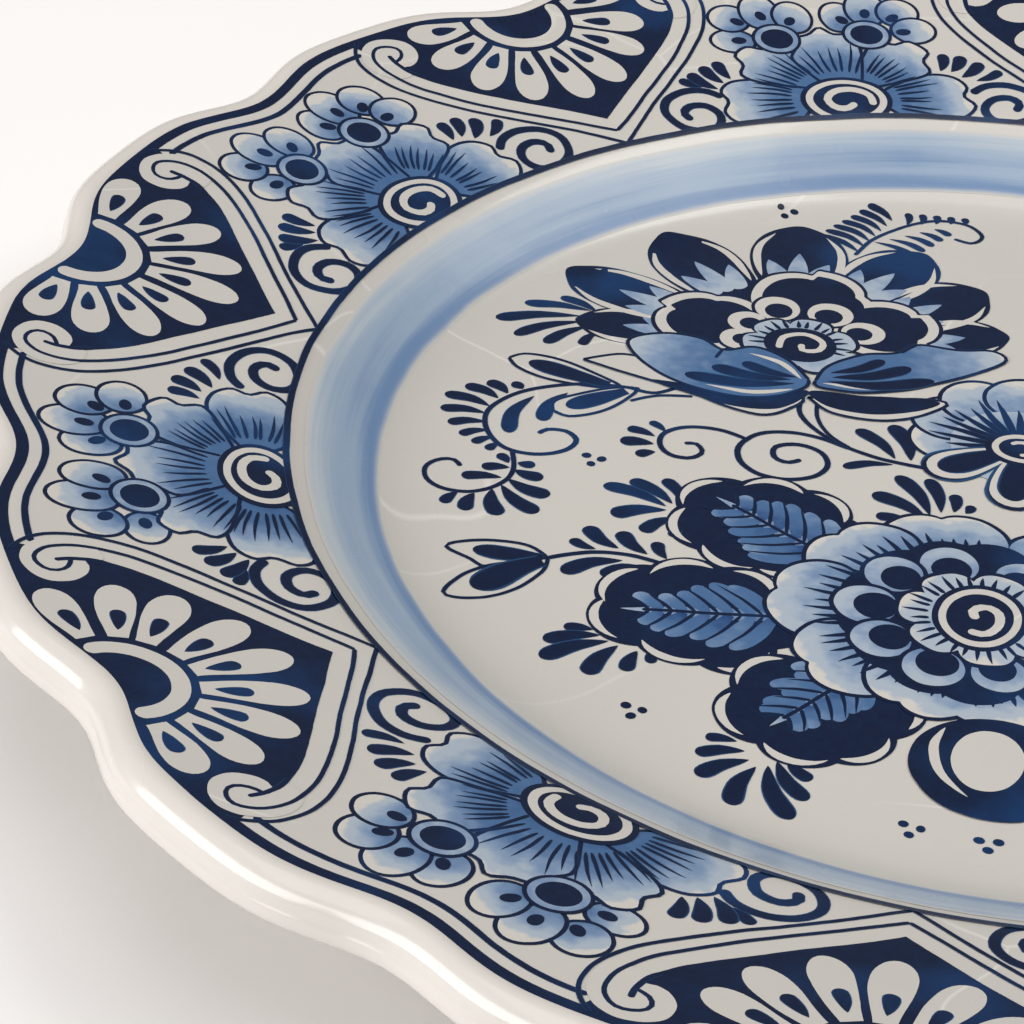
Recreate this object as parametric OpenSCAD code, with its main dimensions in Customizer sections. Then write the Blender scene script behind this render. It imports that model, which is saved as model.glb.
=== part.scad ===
// Scalloped dinner plate in tin-glazed ware, with cobalt painting.
// Millimetres, +Z up. The plate stands on its foot ring at z = 0, centred on the Z axis.
// Every skin on the face follows one profile, face_z(r), so glaze and paint lie on each other without a gap.

/* [Overall size] */

// widest diameter, over the lobes of the scalloped edge
plate_d = 260; // [250:1:300]
// height of the glazed well above the table
well_height = 8.2; // [6:0.1:14]
// thickness of the ware under the well, glaze included
well_thick = 5; // [3.5:0.1:5.8]
// thickness of the ware where the lip begins, glaze included
flange_thick = 4.2; // [3:0.1:6]

/* [Face profile] */

// radius where the flat well turns up into the wall
well_r = 76.6; // [73:0.1:80]
// radius where the wall meets the flange
flange_r = 89.5; // [86:0.1:93]
// rise of the wall for each millimetre outwards
wall_slope = 0.589; // [0.3:0.001:1]
// rise of the flange for each millimetre outwards
flange_slope = 0.196; // [0.05:0.001:0.4]
// roundness of the turn at the foot of the wall
well_turn = 1.6; // [0.6:0.1:2]
// roundness of the turn at the top of the wall
flange_turn = 1.2; // [0.6:0.1:1.6]

/* [Scalloped edge] */

// number of notches round the edge, two for each painted panel
notch_count = 16; // [8:2:32]
// depth of a notch below the lobes
notch_depth = 3.8; // [0:0.1:5]
// sharpness of a notch, where 1 is a plain wave
notch_power = 2.4; // [1:0.1:6]
// radius where the plain flange stops and the scalloped lip begins
lip_start_r = 116; // [110:0.5:117]
// width of the rolled lip outside the painted edge line
lip_w = 4.6; // [3:0.1:5]

/* [Foot ring] */

// outer radius of the foot ring
foot_r = 67.5; // [45:0.5:68]
// width of the foot ring
foot_w = 6.5; // [4:0.1:12]
// bevel on the bottom corners of the foot ring
foot_bevel = 1.1; // [0.3:0.1:2]

/* [Glaze and paint] */

// thickness of the white tin glaze
glaze = 0.4; // [0.2:0.05:0.8]
// thickness of a painted film of cobalt
paint = 0.12; // [0.08:0.01:0.3]
// inner radius of the pale blue band on the wall
band_in_r = 79.3; // [77:0.1:84]
// outer radius of the pale blue band on the wall
band_out_r = 87.2; // [85:0.1:89]
// width of the painted line along the scalloped edge
edge_line_w = 1.4; // [0.6:0.1:2]
// width of the painted line round the inside of the flange
flange_line_w = 1.1; // [0.6:0.1:2]

/* [Painted shapes] */

// number of dark painted panels round the flange
panel_count = 8; // [4:1:8]
// radius of the inner point of a dark panel
panel_tip_r = 96.5; // [92:0.1:104]
// half the width of a dark panel, as an angle
panel_half = 10.6; // [6:0.1:11]
// reach of a fan flower between two panels
fan_reach = 18; // [12:0.5:19]

/* [Hidden] */

$fn = 180;
outline_steps = 288;
lip_steps = 192;
shape_steps = 48;
bend_start_r = 68;
bend_end_r = 98;
bend_step = 1.5;
above_plate = 40;

// ---------- profile of the face ----------

// a soft ramp: nothing well below x = 0, one for one well above it, turning over about w
function ramp(x, w) = x > 20 * w ? x : w * ln(1 + exp(x / w));

// the smooth face: a flat well, a steep wall, then a shallow flange
function smooth_z(r) = well_height + wall_slope * ramp(r - well_r, well_turn)
    - (wall_slope - flange_slope) * ramp(r - flange_r, flange_turn);

// the radii where the turned profile has a corner
BENDS = [for (r = [bend_start_r : bend_step : bend_end_r]) r];
PROFILE = [for (r = concat([0], BENDS, [plate_d / 2])) [r, smooth_z(r)]];

// height of the glazed face at radius r
function face_z(r) = lookup(r, PROFILE);

// thickness of the ware at radius r, thinning from the well to the lip
function ware_t(r) = lookup(r, [[bend_start_r, well_thick], [lip_start_r, flange_thick]]);

// the corners of the profile from radius a to radius b
function corners(a, b) = concat([a], [for (r = BENDS) if (r > a && r < b) r], [b]);

// a list from its last item to its first
function backwards(v) = [for (i = [len(v) - 1 : -1 : 0]) v[i]];

// ---------- turned skins ----------

// a skin on the face between two radii, from lo to hi above it
module face_skin(r0, r1, lo, hi) {
    rs = corners(r0, r1);
    rotate_extrude()
        polygon(concat([for (r = rs) [r, face_z(r) + lo]],
                       [for (r = backwards(rs)) [r, face_z(r) + hi]]));
}

// a skin on the underside between two radii, as thick as the glaze
module back_skin(r0, r1) {
    rs = corners(r0, r1);
    rotate_extrude()
        polygon(concat([for (r = rs) [r, face_z(r) - ware_t(r)]],
                       [for (r = backwards(rs)) [r, face_z(r) - ware_t(r) + glaze]]));
}

// a painted film on the face, cut to the flat shape given as its child
module painted(r0, r1) {
    intersection() {
        face_skin(r0, r1, 0, paint);
        linear_extrude(height = above_plate) children();
    }
}

// ---------- scalloped outline ----------

// radius of the outer edge at angle a, less an inset
function edge_r(a, inset = 0) = plate_d / 2 - inset
    - notch_depth * pow((1 + cos(notch_count * a)) / 2, notch_power);

// the point at radius r and angle a
function polar(r, a) = [r * cos(a), r * sin(a)];

// the scalloped outline as a flat shape
module outline(inset) {
    polygon([for (i = [0 : outline_steps - 1])
        let (a = 360 * i / outline_steps) polar(edge_r(a, inset), a)]);
}

// ---------- clay ----------

module clay_body() {
    rs = corners(0, lip_start_r);
    color("Sienna")
        rotate_extrude()
            polygon(concat([for (r = rs) [r, face_z(r) - ware_t(r) + glaze]],
                           [for (r = backwards(rs)) [r, face_z(r) - glaze]]));
}

module foot_ring() {
    top = well_height - well_thick + glaze;
    in_r = foot_r - foot_w;
    color("BurlyWood")
        rotate_extrude()
            polygon([[in_r + foot_bevel, 0], [foot_r - foot_bevel, 0], [foot_r, foot_bevel],
                     [foot_r, top], [in_r, top], [in_r, foot_bevel]]);
}

// ---------- glaze ----------

module front_glaze() {
    color("Ivory") face_skin(0, lip_start_r, -glaze, 0);
}

// outside the foot ring, and the disc inside it
module back_glaze() {
    color("Ivory") {
        back_skin(foot_r, lip_start_r);
        back_skin(0, foot_r - foot_w);
    }
}

// the rolled edge from the painted line outwards and under: [inset from the edge, height over that line].
// two soft beads, one over the other, with a shallow crease between them
LIP_ROLL = [[lip_w, 0], [lip_w * 0.74, 0.3], [lip_w * 0.48, 0.3], [lip_w * 0.24, -0.25], [0.35, -1.2],
            [0.15, -2], [0.45, -2.7], [0.05, -3.3], [0, -3.9], [0.35, -4.6], [1.3, -5.1], [3, -5.2]];

// the lip's whole section at angle a, from the face of the flange round to its underside
function lip_section(a) =
    let (line_z = face_z(edge_r(a, lip_w)), start_z = face_z(lip_start_r))
    concat([[lip_start_r, start_z]],
           [for (p = LIP_ROLL) [edge_r(a, p[0]), line_z + p[1]]],
           [[lip_start_r, start_z - flange_thick]]);

module rim_lip() {
    n = len(LIP_ROLL) + 2;
    color("White")
        polyhedron(
            points = [for (i = [0 : lip_steps - 1])
                let (a = 360 * i / lip_steps)
                for (p = lip_section(a)) [p[0] * cos(a), p[0] * sin(a), p[1]]],
            faces = [for (i = [0 : lip_steps - 1]) for (j = [0 : n - 1])
                let (here = i * n, next = ((i + 1) % lip_steps) * n, k = (j + 1) % n)
                for (half = [[here + j, next + j, next + k], [here + j, next + k, here + k]]) half]);
}

// ---------- painted lines and band ----------

module wall_band() {
    color("LightSteelBlue") face_skin(band_in_r, band_out_r, 0, paint);
}

module flange_line() {
    color("MidnightBlue") face_skin(flange_r, flange_r + flange_line_w, 0, paint);
}

module edge_line() {
    color("MidnightBlue")
        painted(lip_start_r, plate_d / 2)
            difference() {
                outline(lip_w);
                outline(lip_w + edge_line_w);
            }
}

// ---------- painted shapes on the flange ----------

// inner edge of a dark panel at an angle b from its middle
function panel_in_r(b) = panel_tip_r + 1.2 * pow(abs(b), 1.25);

// a shield whose point looks at the well and whose broad end follows the scalloped edge
module panel_shape() {
    angles = [for (i = [0 : shape_steps]) panel_half * (2 * i / shape_steps - 1)];
    polygon(concat([for (b = angles) polar(panel_in_r(b), b)],
                   [for (b = backwards(angles)) polar(edge_r(b, lip_w + edge_line_w), b)]));
}

module rim_panels() {
    color("Navy")
        painted(flange_r + flange_line_w, plate_d / 2)
            for (i = [0 : panel_count - 1]) rotate(360 * i / panel_count) panel_shape();
}

// a flower outline: petals of depth cut round a middle radius r
module rosette(r, petals, cut) {
    polygon([for (i = [0 : shape_steps - 1])
        let (a = 360 * i / shape_steps) polar(r - cut * (1 + cos(petals * a)) / 2, a)]);
}

// between two panels: a fan flower on the flange line and two small flowers beside the edge
module rim_flowers() {
    eye_r = flange_r + 2;
    sprig_r = flange_r + 22;
    sprig_size = 7;
    sprig_angle = 5;
    color("RoyalBlue")
        painted(flange_r + flange_line_w, plate_d / 2)
            for (i = [0 : panel_count - 1]) rotate(360 * (i + 0.5) / panel_count) {
                translate([eye_r, 0]) rosette(fan_reach, 9, 2);
                for (side = [-1, 1])
                    rotate(side * sprig_angle) translate([sprig_r, 0]) rosette(sprig_size, 5, 1.5);
            }
}

// ---------- painted bouquet in the well ----------

// a pointed leaf of length l and width w, from its stalk along x
module leaf(l, w) {
    half = [for (i = [0 : shape_steps / 2]) 2 * i / shape_steps];
    polygon(concat([for (t = half) [l * t, w / 2 * sin(180 * t)]],
                   [for (t = backwards(half)) if (t > 0 && t < 1) [l * t, -w / 2 * sin(180 * t)]]));
}

// one side of the bouquet: the large lotus, three leaves of the rose and two buds
module bouquet_side() {
    translate([-33, 31]) rosette(24, 9, 3);
    for (turn = [155, 185, 225]) translate([0, -27]) rotate(turn) leaf(44, 17);
    translate([-66, -34]) rotate(10) leaf(12, 9);
    translate([-66, 14]) rotate(-8) leaf(14, 5);
}

module bouquet() {
    color("Navy")
        translate([0, 0, face_z(0)]) linear_extrude(height = paint) {
            bouquet_side();
            mirror([1, 0]) bouquet_side();
            translate([0, -27]) rosette(23, 10, 3);
            translate([0, 16]) rosette(10, 7, 2);
            translate([0, -55]) circle(r = 9);
        }
}

clay_body();
foot_ring();
front_glaze();
back_glaze();
rim_lip();
wall_band();
flange_line();
edge_line();
rim_panels();
rim_flowers();
bouquet();
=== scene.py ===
# %% [markdown]
# # A blue and white dinner plate with a scalloped edge
# The plate is one piece of fired clay under a white tin glaze, painted with cobalt by hand. It is built
# as a maker would make it: the ware is turned to a profile, its edge is pressed into scallops, the
# glaze covers it, and the painting is laid on stroke by stroke. All sizes are in millimetres and turned
# into metres when a mesh is made.

import math
import random

import bmesh
import bpy
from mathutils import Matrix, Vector
from mathutils.geometry import delaunay_2d_cdt


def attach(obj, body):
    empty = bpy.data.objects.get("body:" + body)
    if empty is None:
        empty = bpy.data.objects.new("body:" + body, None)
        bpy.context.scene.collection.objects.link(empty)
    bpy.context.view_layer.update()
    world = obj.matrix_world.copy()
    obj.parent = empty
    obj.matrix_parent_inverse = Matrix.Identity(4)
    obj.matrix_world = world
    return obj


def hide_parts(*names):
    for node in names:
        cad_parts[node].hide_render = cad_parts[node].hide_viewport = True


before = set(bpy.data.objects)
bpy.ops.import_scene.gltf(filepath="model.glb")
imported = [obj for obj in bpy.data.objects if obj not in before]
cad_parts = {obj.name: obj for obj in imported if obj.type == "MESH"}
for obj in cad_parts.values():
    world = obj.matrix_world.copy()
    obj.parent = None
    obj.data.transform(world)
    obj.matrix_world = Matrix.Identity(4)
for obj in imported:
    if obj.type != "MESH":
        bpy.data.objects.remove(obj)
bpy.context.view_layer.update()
MM = 0.001
hand = random.Random(11)

# %% [markdown]
# ## The profile
# A plate's face is a flat well, a steep wall and a shallow flange. Two soft ramps added together give
# that profile as one formula, so the ware, the glaze and every stroke of paint can follow the same
# height. The edge is a circle with sixteen notches. A raised cosine taken to a power gives broad lobes
# and narrow notches.

# %% Profile and outline
WELL_Z, WELL_THICK, FLANGE_THICK = 8.2, 5.0, 4.2
WELL_R, WELL_TURN = 76.6, 1.6
FLANGE_R, FLANGE_TURN = 89.5, 1.2
WALL_SLOPE, FLANGE_SLOPE = 0.589, 0.196
PLATE_R, LIP_W, LIP_START_R = 130.0, 4.6, 116.0
NOTCHES, NOTCH_DEPTH, NOTCH_POWER = 16, 3.8, 2.4
FOOT_R, FOOT_W, FOOT_Z = 67.5, 6.5, 1.5
PANELS = 8


def ramp(x, w):
    """Nothing below zero and one for one above it, turning over about w."""
    return x if x > 20 * w else w * math.log1p(math.exp(x / w))


def face(r):
    """Height of the glazed face at radius r."""
    rise = WALL_SLOPE * ramp(r - WELL_R, WELL_TURN)
    return WELL_Z + rise - (WALL_SLOPE - FLANGE_SLOPE) * ramp(r - FLANGE_R, FLANGE_TURN)


def edge(degrees, inset=0.0):
    """Radius of the scalloped edge at an angle, less an inset."""
    wave = (1 + math.cos(math.radians(NOTCHES * degrees))) / 2
    return PLATE_R - inset - NOTCH_DEPTH * wave**NOTCH_POWER


def polar(r, degrees, centre=(0.0, 0.0)):
    """The point at radius r and an angle round a centre."""
    a = math.radians(degrees)
    return (centre[0] + r * math.cos(a), centre[1] + r * math.sin(a))


print("rim height", round(face(PLATE_R - LIP_W), 2), "well height", round(face(0), 2))

# %% [markdown]
# ## Node trees written as sums
# Geometry and material trees are easier to read as arithmetic. A Wire stands for one socket, and each
# arithmetic sign adds the Math node that it means. A Bench adds any other node, with its settings and
# inputs.


# %% A wire
class Wire:
    """A socket that can be used in Python arithmetic."""

    def __init__(self, bench, socket):
        self.bench, self.socket = bench, socket

    def calc(self, operation, *others, swap=False):
        values = (*others, self) if swap else (self, *others)
        made = self.bench.tree.nodes.new("ShaderNodeMath")
        made.operation = operation
        for slot, value in zip(made.inputs, values):
            self.bench.feed(slot, value)
        return Wire(self.bench, made.outputs[0])

    def __add__(self, other):
        return self.calc("ADD", other)

    __radd__ = __add__

    def __sub__(self, other):
        return self.calc("SUBTRACT", other)

    def __rsub__(self, other):
        return self.calc("SUBTRACT", other, swap=True)

    def __mul__(self, other):
        return self.calc("MULTIPLY", other)

    __rmul__ = __mul__

    def __truediv__(self, other):
        return self.calc("DIVIDE", other)

    def __rtruediv__(self, other):
        return self.calc("DIVIDE", other, swap=True)

    def __pow__(self, other):
        return self.calc("POWER", other)

    def clamp(self):
        return self.calc("MAXIMUM", 0.0).calc("MINIMUM", 1.0)

    def between(self, low, high):
        """0 at low, 1 at high, smooth in between."""
        t = ((self - low) / (high - low)).clamp()
        return t * t * (3.0 - 2.0 * t)


print("wire arithmetic ready")


# %% A bench
class Bench:
    """A node tree under construction."""

    def __init__(self, tree):
        self.tree = tree

    def feed(self, socket, value):
        if isinstance(value, Wire):
            self.tree.links.new(value.socket, socket)
        else:
            socket.default_value = value

    def node(self, kind, settings=None, inputs=None, out=0):
        """Adds any node, and gives back one of its outputs as a Wire."""
        made = self.tree.nodes.new(kind)
        for name, value in (settings or {}).items():
            setattr(made, name, value)
        for key, value in (inputs or {}).items():
            self.feed(made.inputs[key], value)
        return Wire(self, made.outputs[out])

    def parts(self, vector):
        """The three parts of a vector as Wires."""
        made = self.tree.nodes.new("ShaderNodeSeparateXYZ")
        self.feed(made.inputs[0], vector)
        return [Wire(self, socket) for socket in made.outputs]

    def vector(self, x, y, z):
        return self.node("ShaderNodeCombineXYZ", inputs={0: x, 1: y, 2: z})

    def mix(self, factor, low, high):
        """A colour between two colours."""
        return self.node("ShaderNodeMix", {"data_type": "RGBA"}, {0: factor, 6: low, 7: high}, out=2)

    def noise(self, scale, detail=2.0, vector=None, out=0):
        inputs = {"Scale": scale, "Detail": detail}
        if vector is not None:
            inputs["Vector"] = vector
        return self.node("ShaderNodeTexNoise", None, inputs, out)


print("bench ready")

# %% [markdown]
# ## Trees that make meshes
# Blender can make a shape with a tree of nodes that runs as a modifier. The result must be a plain mesh
# in the end, so each tree here is run once on a carrier mesh, the result is kept, and the modifier is
# taken off again.


# %% Trees that make meshes
def geometry_tree(name, sockets):
    """A new geometry tree with named inputs. Gives its bench and its input wires by name."""
    tree = bpy.data.node_groups.new(name, "GeometryNodeTree")
    tree.interface.new_socket("Geometry", in_out="INPUT", socket_type="NodeSocketGeometry")
    tree.interface.new_socket("Geometry", in_out="OUTPUT", socket_type="NodeSocketGeometry")
    for label, kind in sockets.items():
        tree.interface.new_socket(label, in_out="INPUT", socket_type="NodeSocket" + kind)
    bench = Bench(tree)
    start = tree.nodes.new("NodeGroupInput")
    return bench, {s.name: Wire(bench, s) for s in start.outputs if s.name}


def close_tree(bench, geometry, material):
    """Every tree ends the same way: real geometry, smooth, with its material."""
    real = bench.node("GeometryNodeRealizeInstances", None, {0: geometry})
    smooth = bench.node("GeometryNodeSetShadeSmooth", None, {0: real})
    dressed = bench.node("GeometryNodeSetMaterial", None, {"Geometry": smooth, "Material": material})
    end = bench.tree.nodes.new("NodeGroupOutput")
    bench.feed(end.inputs[0], dressed)


def grow(name, mesh, tree, values):
    """Runs a tree on a mesh and keeps the result as a plain mesh object."""
    carrier = bpy.data.objects.new(name, mesh)
    bpy.context.collection.objects.link(carrier)
    modifier = carrier.modifiers.new("grow", "NODES")
    modifier.node_group = tree
    for item in tree.interface.items_tree:
        if item.in_out == "INPUT" and item.name in values:
            modifier[item.identifier] = values[item.name]
    bpy.context.view_layer.update()
    evaluated = carrier.evaluated_get(bpy.context.evaluated_depsgraph_get())
    result = bpy.data.meshes.new_from_object(evaluated)
    carrier.modifiers.clear()
    carrier.data = result
    result.name = name
    return carrier


def add_piece(piece, nodes):
    """Attaches a finished piece to the plate's body and hides the design parts that it stands for."""
    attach(piece, "root")
    for node in nodes:
        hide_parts(node)
    print(piece.name, len(piece.data.polygons), "faces")


print("tree tools ready")


# %% [markdown]
# ## Finishes
# The plate has five finishes: white glaze, dense cobalt, thinned cobalt, the streaky wash of the band
# and bare clay. A flat picture could be wrapped on it, but noise on the object's own coordinates never
# shows a seam and never runs out of detail. All but the clay share one thing, the clear glassy top of
# the glaze.


# %% What every finish needs
RIPPLE_STRENGTH, RIPPLE_HEIGHT = 0.25, 0.0004


def new_material(name):
    """A material, its bench, its shader node and the object's own coordinates."""
    material = bpy.data.materials.new(name)
    material.use_nodes = True
    tree = material.node_tree
    bench = Bench(tree)
    shader = tree.nodes["Principled BSDF"]
    place = bench.node("ShaderNodeTexCoord", out=3)
    return material, bench, shader, place


def set_bump(bench, shader, height, strength, distance):
    """Makes a surface look uneven without moving it."""
    bump = bench.node("ShaderNodeBump", None,
                      {"Strength": strength, "Distance": distance, "Height": height})
    bench.feed(shader.inputs["Normal"], bump)


def glossy(shader, coat, specular):
    """What every fired surface under the glaze shares: a clear layer of glass over it."""
    shader.inputs["IOR"].default_value = 1.5
    shader.inputs["Specular IOR Level"].default_value = specular
    shader.inputs["Coat Weight"].default_value = coat
    shader.inputs["Coat Roughness"].default_value = 0.08


def ripple(bench, place):
    """The slight unevenness of a glaze that ran while it was molten."""
    return bench.noise(70.0, 2.0, place) + 0.25 * bench.noise(420.0, 1.0, place)


print("finish tools ready")

# %% [markdown]
# ### White glaze
# A warm white glass over pale clay. It has broad faint cloudiness, a fine crackle that only just shows,
# and a ripple too shallow to see except where light slides over it. The lip and the whole underside get a
# lighter white with no crackle: the lighter white is painted light, the brightness of the glossy lit lip.
# The crackle is the edges of bent Voronoi cells, because real crackle is made of cells too.

# %% White glaze
GLAZE_FACE = (0.57, 0.55, 0.51, 1)
GLAZE_CLOUD = (0.53, 0.515, 0.485, 1)
GLAZE_LIP_PAINTED_BRIGHT = (0.64, 0.61, 0.57, 1)
GLAZE_CRACK = (0.72, 0.70, 0.66, 1)

white_glaze, bench, shader, place = new_material("white_glaze")
cloud = bench.noise(16.0, 3.0, place).between(0.35, 0.7)
lip = bench.node("ShaderNodeAttribute", {"attribute_name": "lip"}, out=2)
base = bench.mix(0.55 * cloud, GLAZE_FACE, GLAZE_CLOUD)
# Painted light: a lighter white on the lip and the underside stands in for the brightness of the lit,
# glossy lip.
base = bench.mix(lip, base, GLAZE_LIP_PAINTED_BRIGHT)
bent = bench.node("ShaderNodeVectorMath", {"operation": "ADD"}, {0: place})
warp = bench.node("ShaderNodeVectorMath", {"operation": "SCALE"},
                  {0: bench.noise(22.0, 2.0, place, out=1), "Scale": 0.03})
bench.feed(bent.socket.node.inputs[1], warp)
cell = bench.node("ShaderNodeTexVoronoi", {"feature": "DISTANCE_TO_EDGE"},
                  {"Vector": bent, "Scale": 26.0})
patchy = bench.noise(30.0, 1.0, place).between(0.45, 0.65)
crack = (1.0 - (cell / 0.009).clamp()) * patchy * (1.0 - lip)
bench.feed(shader.inputs["Base Color"], bench.mix(0.75 * crack, base, GLAZE_CRACK))
bench.feed(shader.inputs["Roughness"], 0.2 + 0.12 * bench.noise(55.0, 2.0, place))
set_bump(bench, shader, ripple(bench, place) - 0.05 * crack, RIPPLE_STRENGTH, RIPPLE_HEIGHT)
glossy(shader, 0.5, 0.5)
print("white glaze")

# %% [markdown]
# ### Dense cobalt
# Cobalt is painted on the raw glaze and sinks into it in the kiln. Laid on thick it fires almost black
# blue, mottled where it pooled. It bleeds a little into the glaze, so each stroke has a bluer rim. The
# strokes carry a value named tone, which is 0 at a stroke's sides, so that the rim can be a mix
# between two blues.

# %% Dense cobalt
COBALT_DARK = (0.0035, 0.010, 0.036, 1)
COBALT_THIN = (0.006, 0.040, 0.135, 1)
COBALT_RIM = (0.018, 0.07, 0.18, 1)

cobalt, bench, shader, place = new_material("cobalt_paint")
pool = bench.noise(45.0, 3.0, place).between(0.5, 0.72)
grain = bench.noise(900.0, 2.0, place).between(0.3, 0.8)
dense = bench.mix(0.7 * pool + 0.1 * grain, COBALT_DARK, COBALT_THIN)
body = bench.node("ShaderNodeAttribute", {"attribute_name": "tone"}, out=2)
bench.feed(shader.inputs["Base Color"], bench.mix(body.between(0.0, 0.22), COBALT_RIM, dense))
bench.feed(shader.inputs["Roughness"], 0.2 + 0.1 * bench.noise(120.0, 2.0, place))
set_bump(bench, shader, ripple(bench, place), RIPPLE_STRENGTH, RIPPLE_HEIGHT)
glossy(shader, 0.12, 0.3)
print("dense cobalt")

# %% [markdown]
# ### Thinned cobalt
# The same paint with more water. Its blue runs from deep to nearly none inside one petal, and it shows
# blots and the hairs of the brush. Here tone is how much paint there is, and noise is added to it
# before the mixes, so that blots and hairs change the depth of the blue and not only its brightness.

# %% Thinned cobalt
WASH_PALE = (0.37, 0.43, 0.50, 1)
WASH_LIGHT = (0.195, 0.28, 0.42, 1)
WASH_MID = (0.062, 0.135, 0.28, 1)
WASH_DEEP = (0.012, 0.048, 0.16, 1)

wash, bench, shader, place = new_material("blue_wash")
tone = bench.node("ShaderNodeAttribute", {"attribute_name": "tone"}, out=2)
hair = bench.noise(500.0, 2.0, place) - 0.5
patch = bench.noise(150.0, 3.0, place) - 0.5
depth = tone + 0.38 * patch + 0.34 * hair
colour = bench.mix(depth.between(0.08, 0.34), WASH_PALE, WASH_LIGHT)
colour = bench.mix(depth.between(0.26, 0.62), colour, WASH_MID)
colour = bench.mix(depth.between(0.62, 1.0), colour, WASH_DEEP)
bench.feed(shader.inputs["Base Color"], bench.mix(depth.between(-0.09, 0.03), GLAZE_FACE, colour))
bench.feed(shader.inputs["Roughness"], 0.2 + 0.12 * bench.noise(140.0, 2.0, place))
set_bump(bench, shader, ripple(bench, place), RIPPLE_STRENGTH, RIPPLE_HEIGHT)
glossy(shader, 0.12, 0.3)
print("thinned cobalt")

# %% [markdown]
# ### Band wash
# The band was drawn with a loaded brush held still on a turning plate, so its streaks run round the
# plate. Noise that changes fast with the radius and slowly with the direction gives such streaks. The
# direction is kept as two numbers, east and north, because an angle would jump where the circle closes.

# %% Band wash
BAND_PALE = (0.47, 0.52, 0.56, 1)
BAND_MID = (0.30, 0.39, 0.51, 1)
BAND_DEEP = (0.145, 0.24, 0.41, 1)

band_wash, bench, shader, place = new_material("band_wash")
x, y, z = bench.parts(place)
radius = (x * x + y * y).calc("SQRT")
east, north = x / radius, y / radius
streak = bench.noise(1.0, 3.0, bench.vector(radius * 700.0, east * 1.6, north * 1.6)) - 0.5
fine = bench.noise(1.0, 2.0, bench.vector(radius * 2400.0, east * 4.0, north * 4.0)) - 0.5
blot = bench.noise(34.0, 3.0, place) - 0.5
tone = bench.node("ShaderNodeAttribute", {"attribute_name": "tone"}, out=2)
depth = tone + 0.62 * streak + 0.3 * fine + 0.6 * blot
colour = bench.mix(depth.between(0.0, 0.5), BAND_PALE, BAND_MID)
colour = bench.mix(depth.between(0.45, 1.0), colour, BAND_DEEP)
fade = bench.node("ShaderNodeAttribute", {"attribute_name": "fade"}, out=2)
bench.feed(shader.inputs["Base Color"], bench.mix(fade, colour, GLAZE_FACE))
bench.feed(shader.inputs["Roughness"], 0.2 + 0.12 * bench.noise(140.0, 2.0, place))
set_bump(bench, shader, ripple(bench, place), RIPPLE_STRENGTH, RIPPLE_HEIGHT)
glossy(shader, 0.12, 0.3)
print("band wash")

# %% [markdown]
# ### Bare clay
# The tread of the foot is wiped clean of glaze. It is matt and a little gritty, with faint stains.

# %% Bare clay
CLAY = (0.56, 0.44, 0.31, 1)
CLAY_DARK = (0.38, 0.28, 0.19, 1)

bare_clay, bench, shader, place = new_material("bare_clay")
grit = bench.noise(1500.0, 3.0, place)
stain = bench.noise(60.0, 3.0, place).between(0.4, 0.7)
dirt = 0.5 * stain + 0.3 * grit.between(0.55, 0.75)
bench.feed(shader.inputs["Base Color"], bench.mix(dirt, CLAY, CLAY_DARK))
bench.feed(shader.inputs["Roughness"], 0.75 + 0.2 * grit)
set_bump(bench, shader, grit, 0.5, 0.0003)
print("bare clay")

# %% [markdown]
# ## The ware
# A potter's template holds half of the section. Turning that section round the axis makes the ware, and
# the scallops are the same section pulled inwards at each notch. The tree below does exactly that: it
# takes the section's points, lays them out round the circle, and moves each one in by its share of the
# notch.


# %% Section of the ware
def smooth_run(points, step=0.4, closed=False):
    """Points along a soft curve through the given ones, about a step apart."""
    n = len(points)
    spans = n if closed else n - 1
    run = []
    for i in range(spans):
        p0 = points[(i - 1) % n] if closed or i > 0 else points[0]
        p1, p2 = points[i], points[(i + 1) % n]
        p3 = points[(i + 2) % n] if closed or i + 2 < n else points[-1]
        count = max(2, math.ceil(math.dist(p1, p2) / step))
        for k in range(count):
            t = k / count
            run.append(tuple(
                0.5 * (2 * b + (c - a) * t + (2 * a - 5 * b + 4 * c - d) * t**2
                       + (3 * b - a - 3 * c + d) * t**3)
                for a, b, c, d in zip(p0, p1, p2, p3)))
    if not closed:
        run.append(tuple(points[-1]))
    return run


def ware_section():
    """Half of the plate's section, from the middle of the well, over the lip and back under."""
    radii = [2.5 * i for i in range(28)] + [70 + 0.6 * i for i in range(47)]
    radii += [98.5 + 2.0 * i for i in range(13)]
    face_run = [(r, face(r)) for r in radii]
    line_r = PLATE_R - LIP_W
    line_z = face(line_r)
    roll = [(line_r, 0.0), (126.4, 0.26), (127.5, 0.2), (128.5, -0.3), (129.2, -1.1), (129.42, -1.8),
            (129.5, -2.4), (129.75, -2.9), (129.9, -3.5), (129.8, -4.3), (129.0, -5.0), (127.0, -5.2)]
    lip_run = [(r, line_z + z) for r, z in smooth_run(roll, 0.25)]
    back_z = WELL_Z - WELL_THICK
    under = [(LIP_START_R, face(LIP_START_R) - FLANGE_THICK)]
    thinning = (WELL_THICK - FLANGE_THICK) / (LIP_START_R - FOOT_R)
    under += [(r, face(r) - WELL_THICK + thinning * (r - FOOT_R))
              for r in [110 - 2.5 * i for i in range(16)]]
    foot_in = FOOT_R - FOOT_W
    foot = [(FOOT_R + 1.6, back_z), (FOOT_R + 0.5, back_z - 0.45), (FOOT_R, FOOT_Z + 0.1),
            (FOOT_R - 0.3, FOOT_Z), (foot_in + 0.3, FOOT_Z), (foot_in, FOOT_Z + 0.1),
            (foot_in - 0.5, back_z - 0.45), (foot_in - 1.6, back_z)]
    base = [(50 - 10 * i, back_z) for i in range(6)]
    return face_run, lip_run + under + foot + base


face_run, back_run = ware_section()
section = bpy.data.meshes.new("section")
section.from_pydata([(r * MM, 0, z * MM) for r, z in face_run + back_run], [], [])
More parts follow.
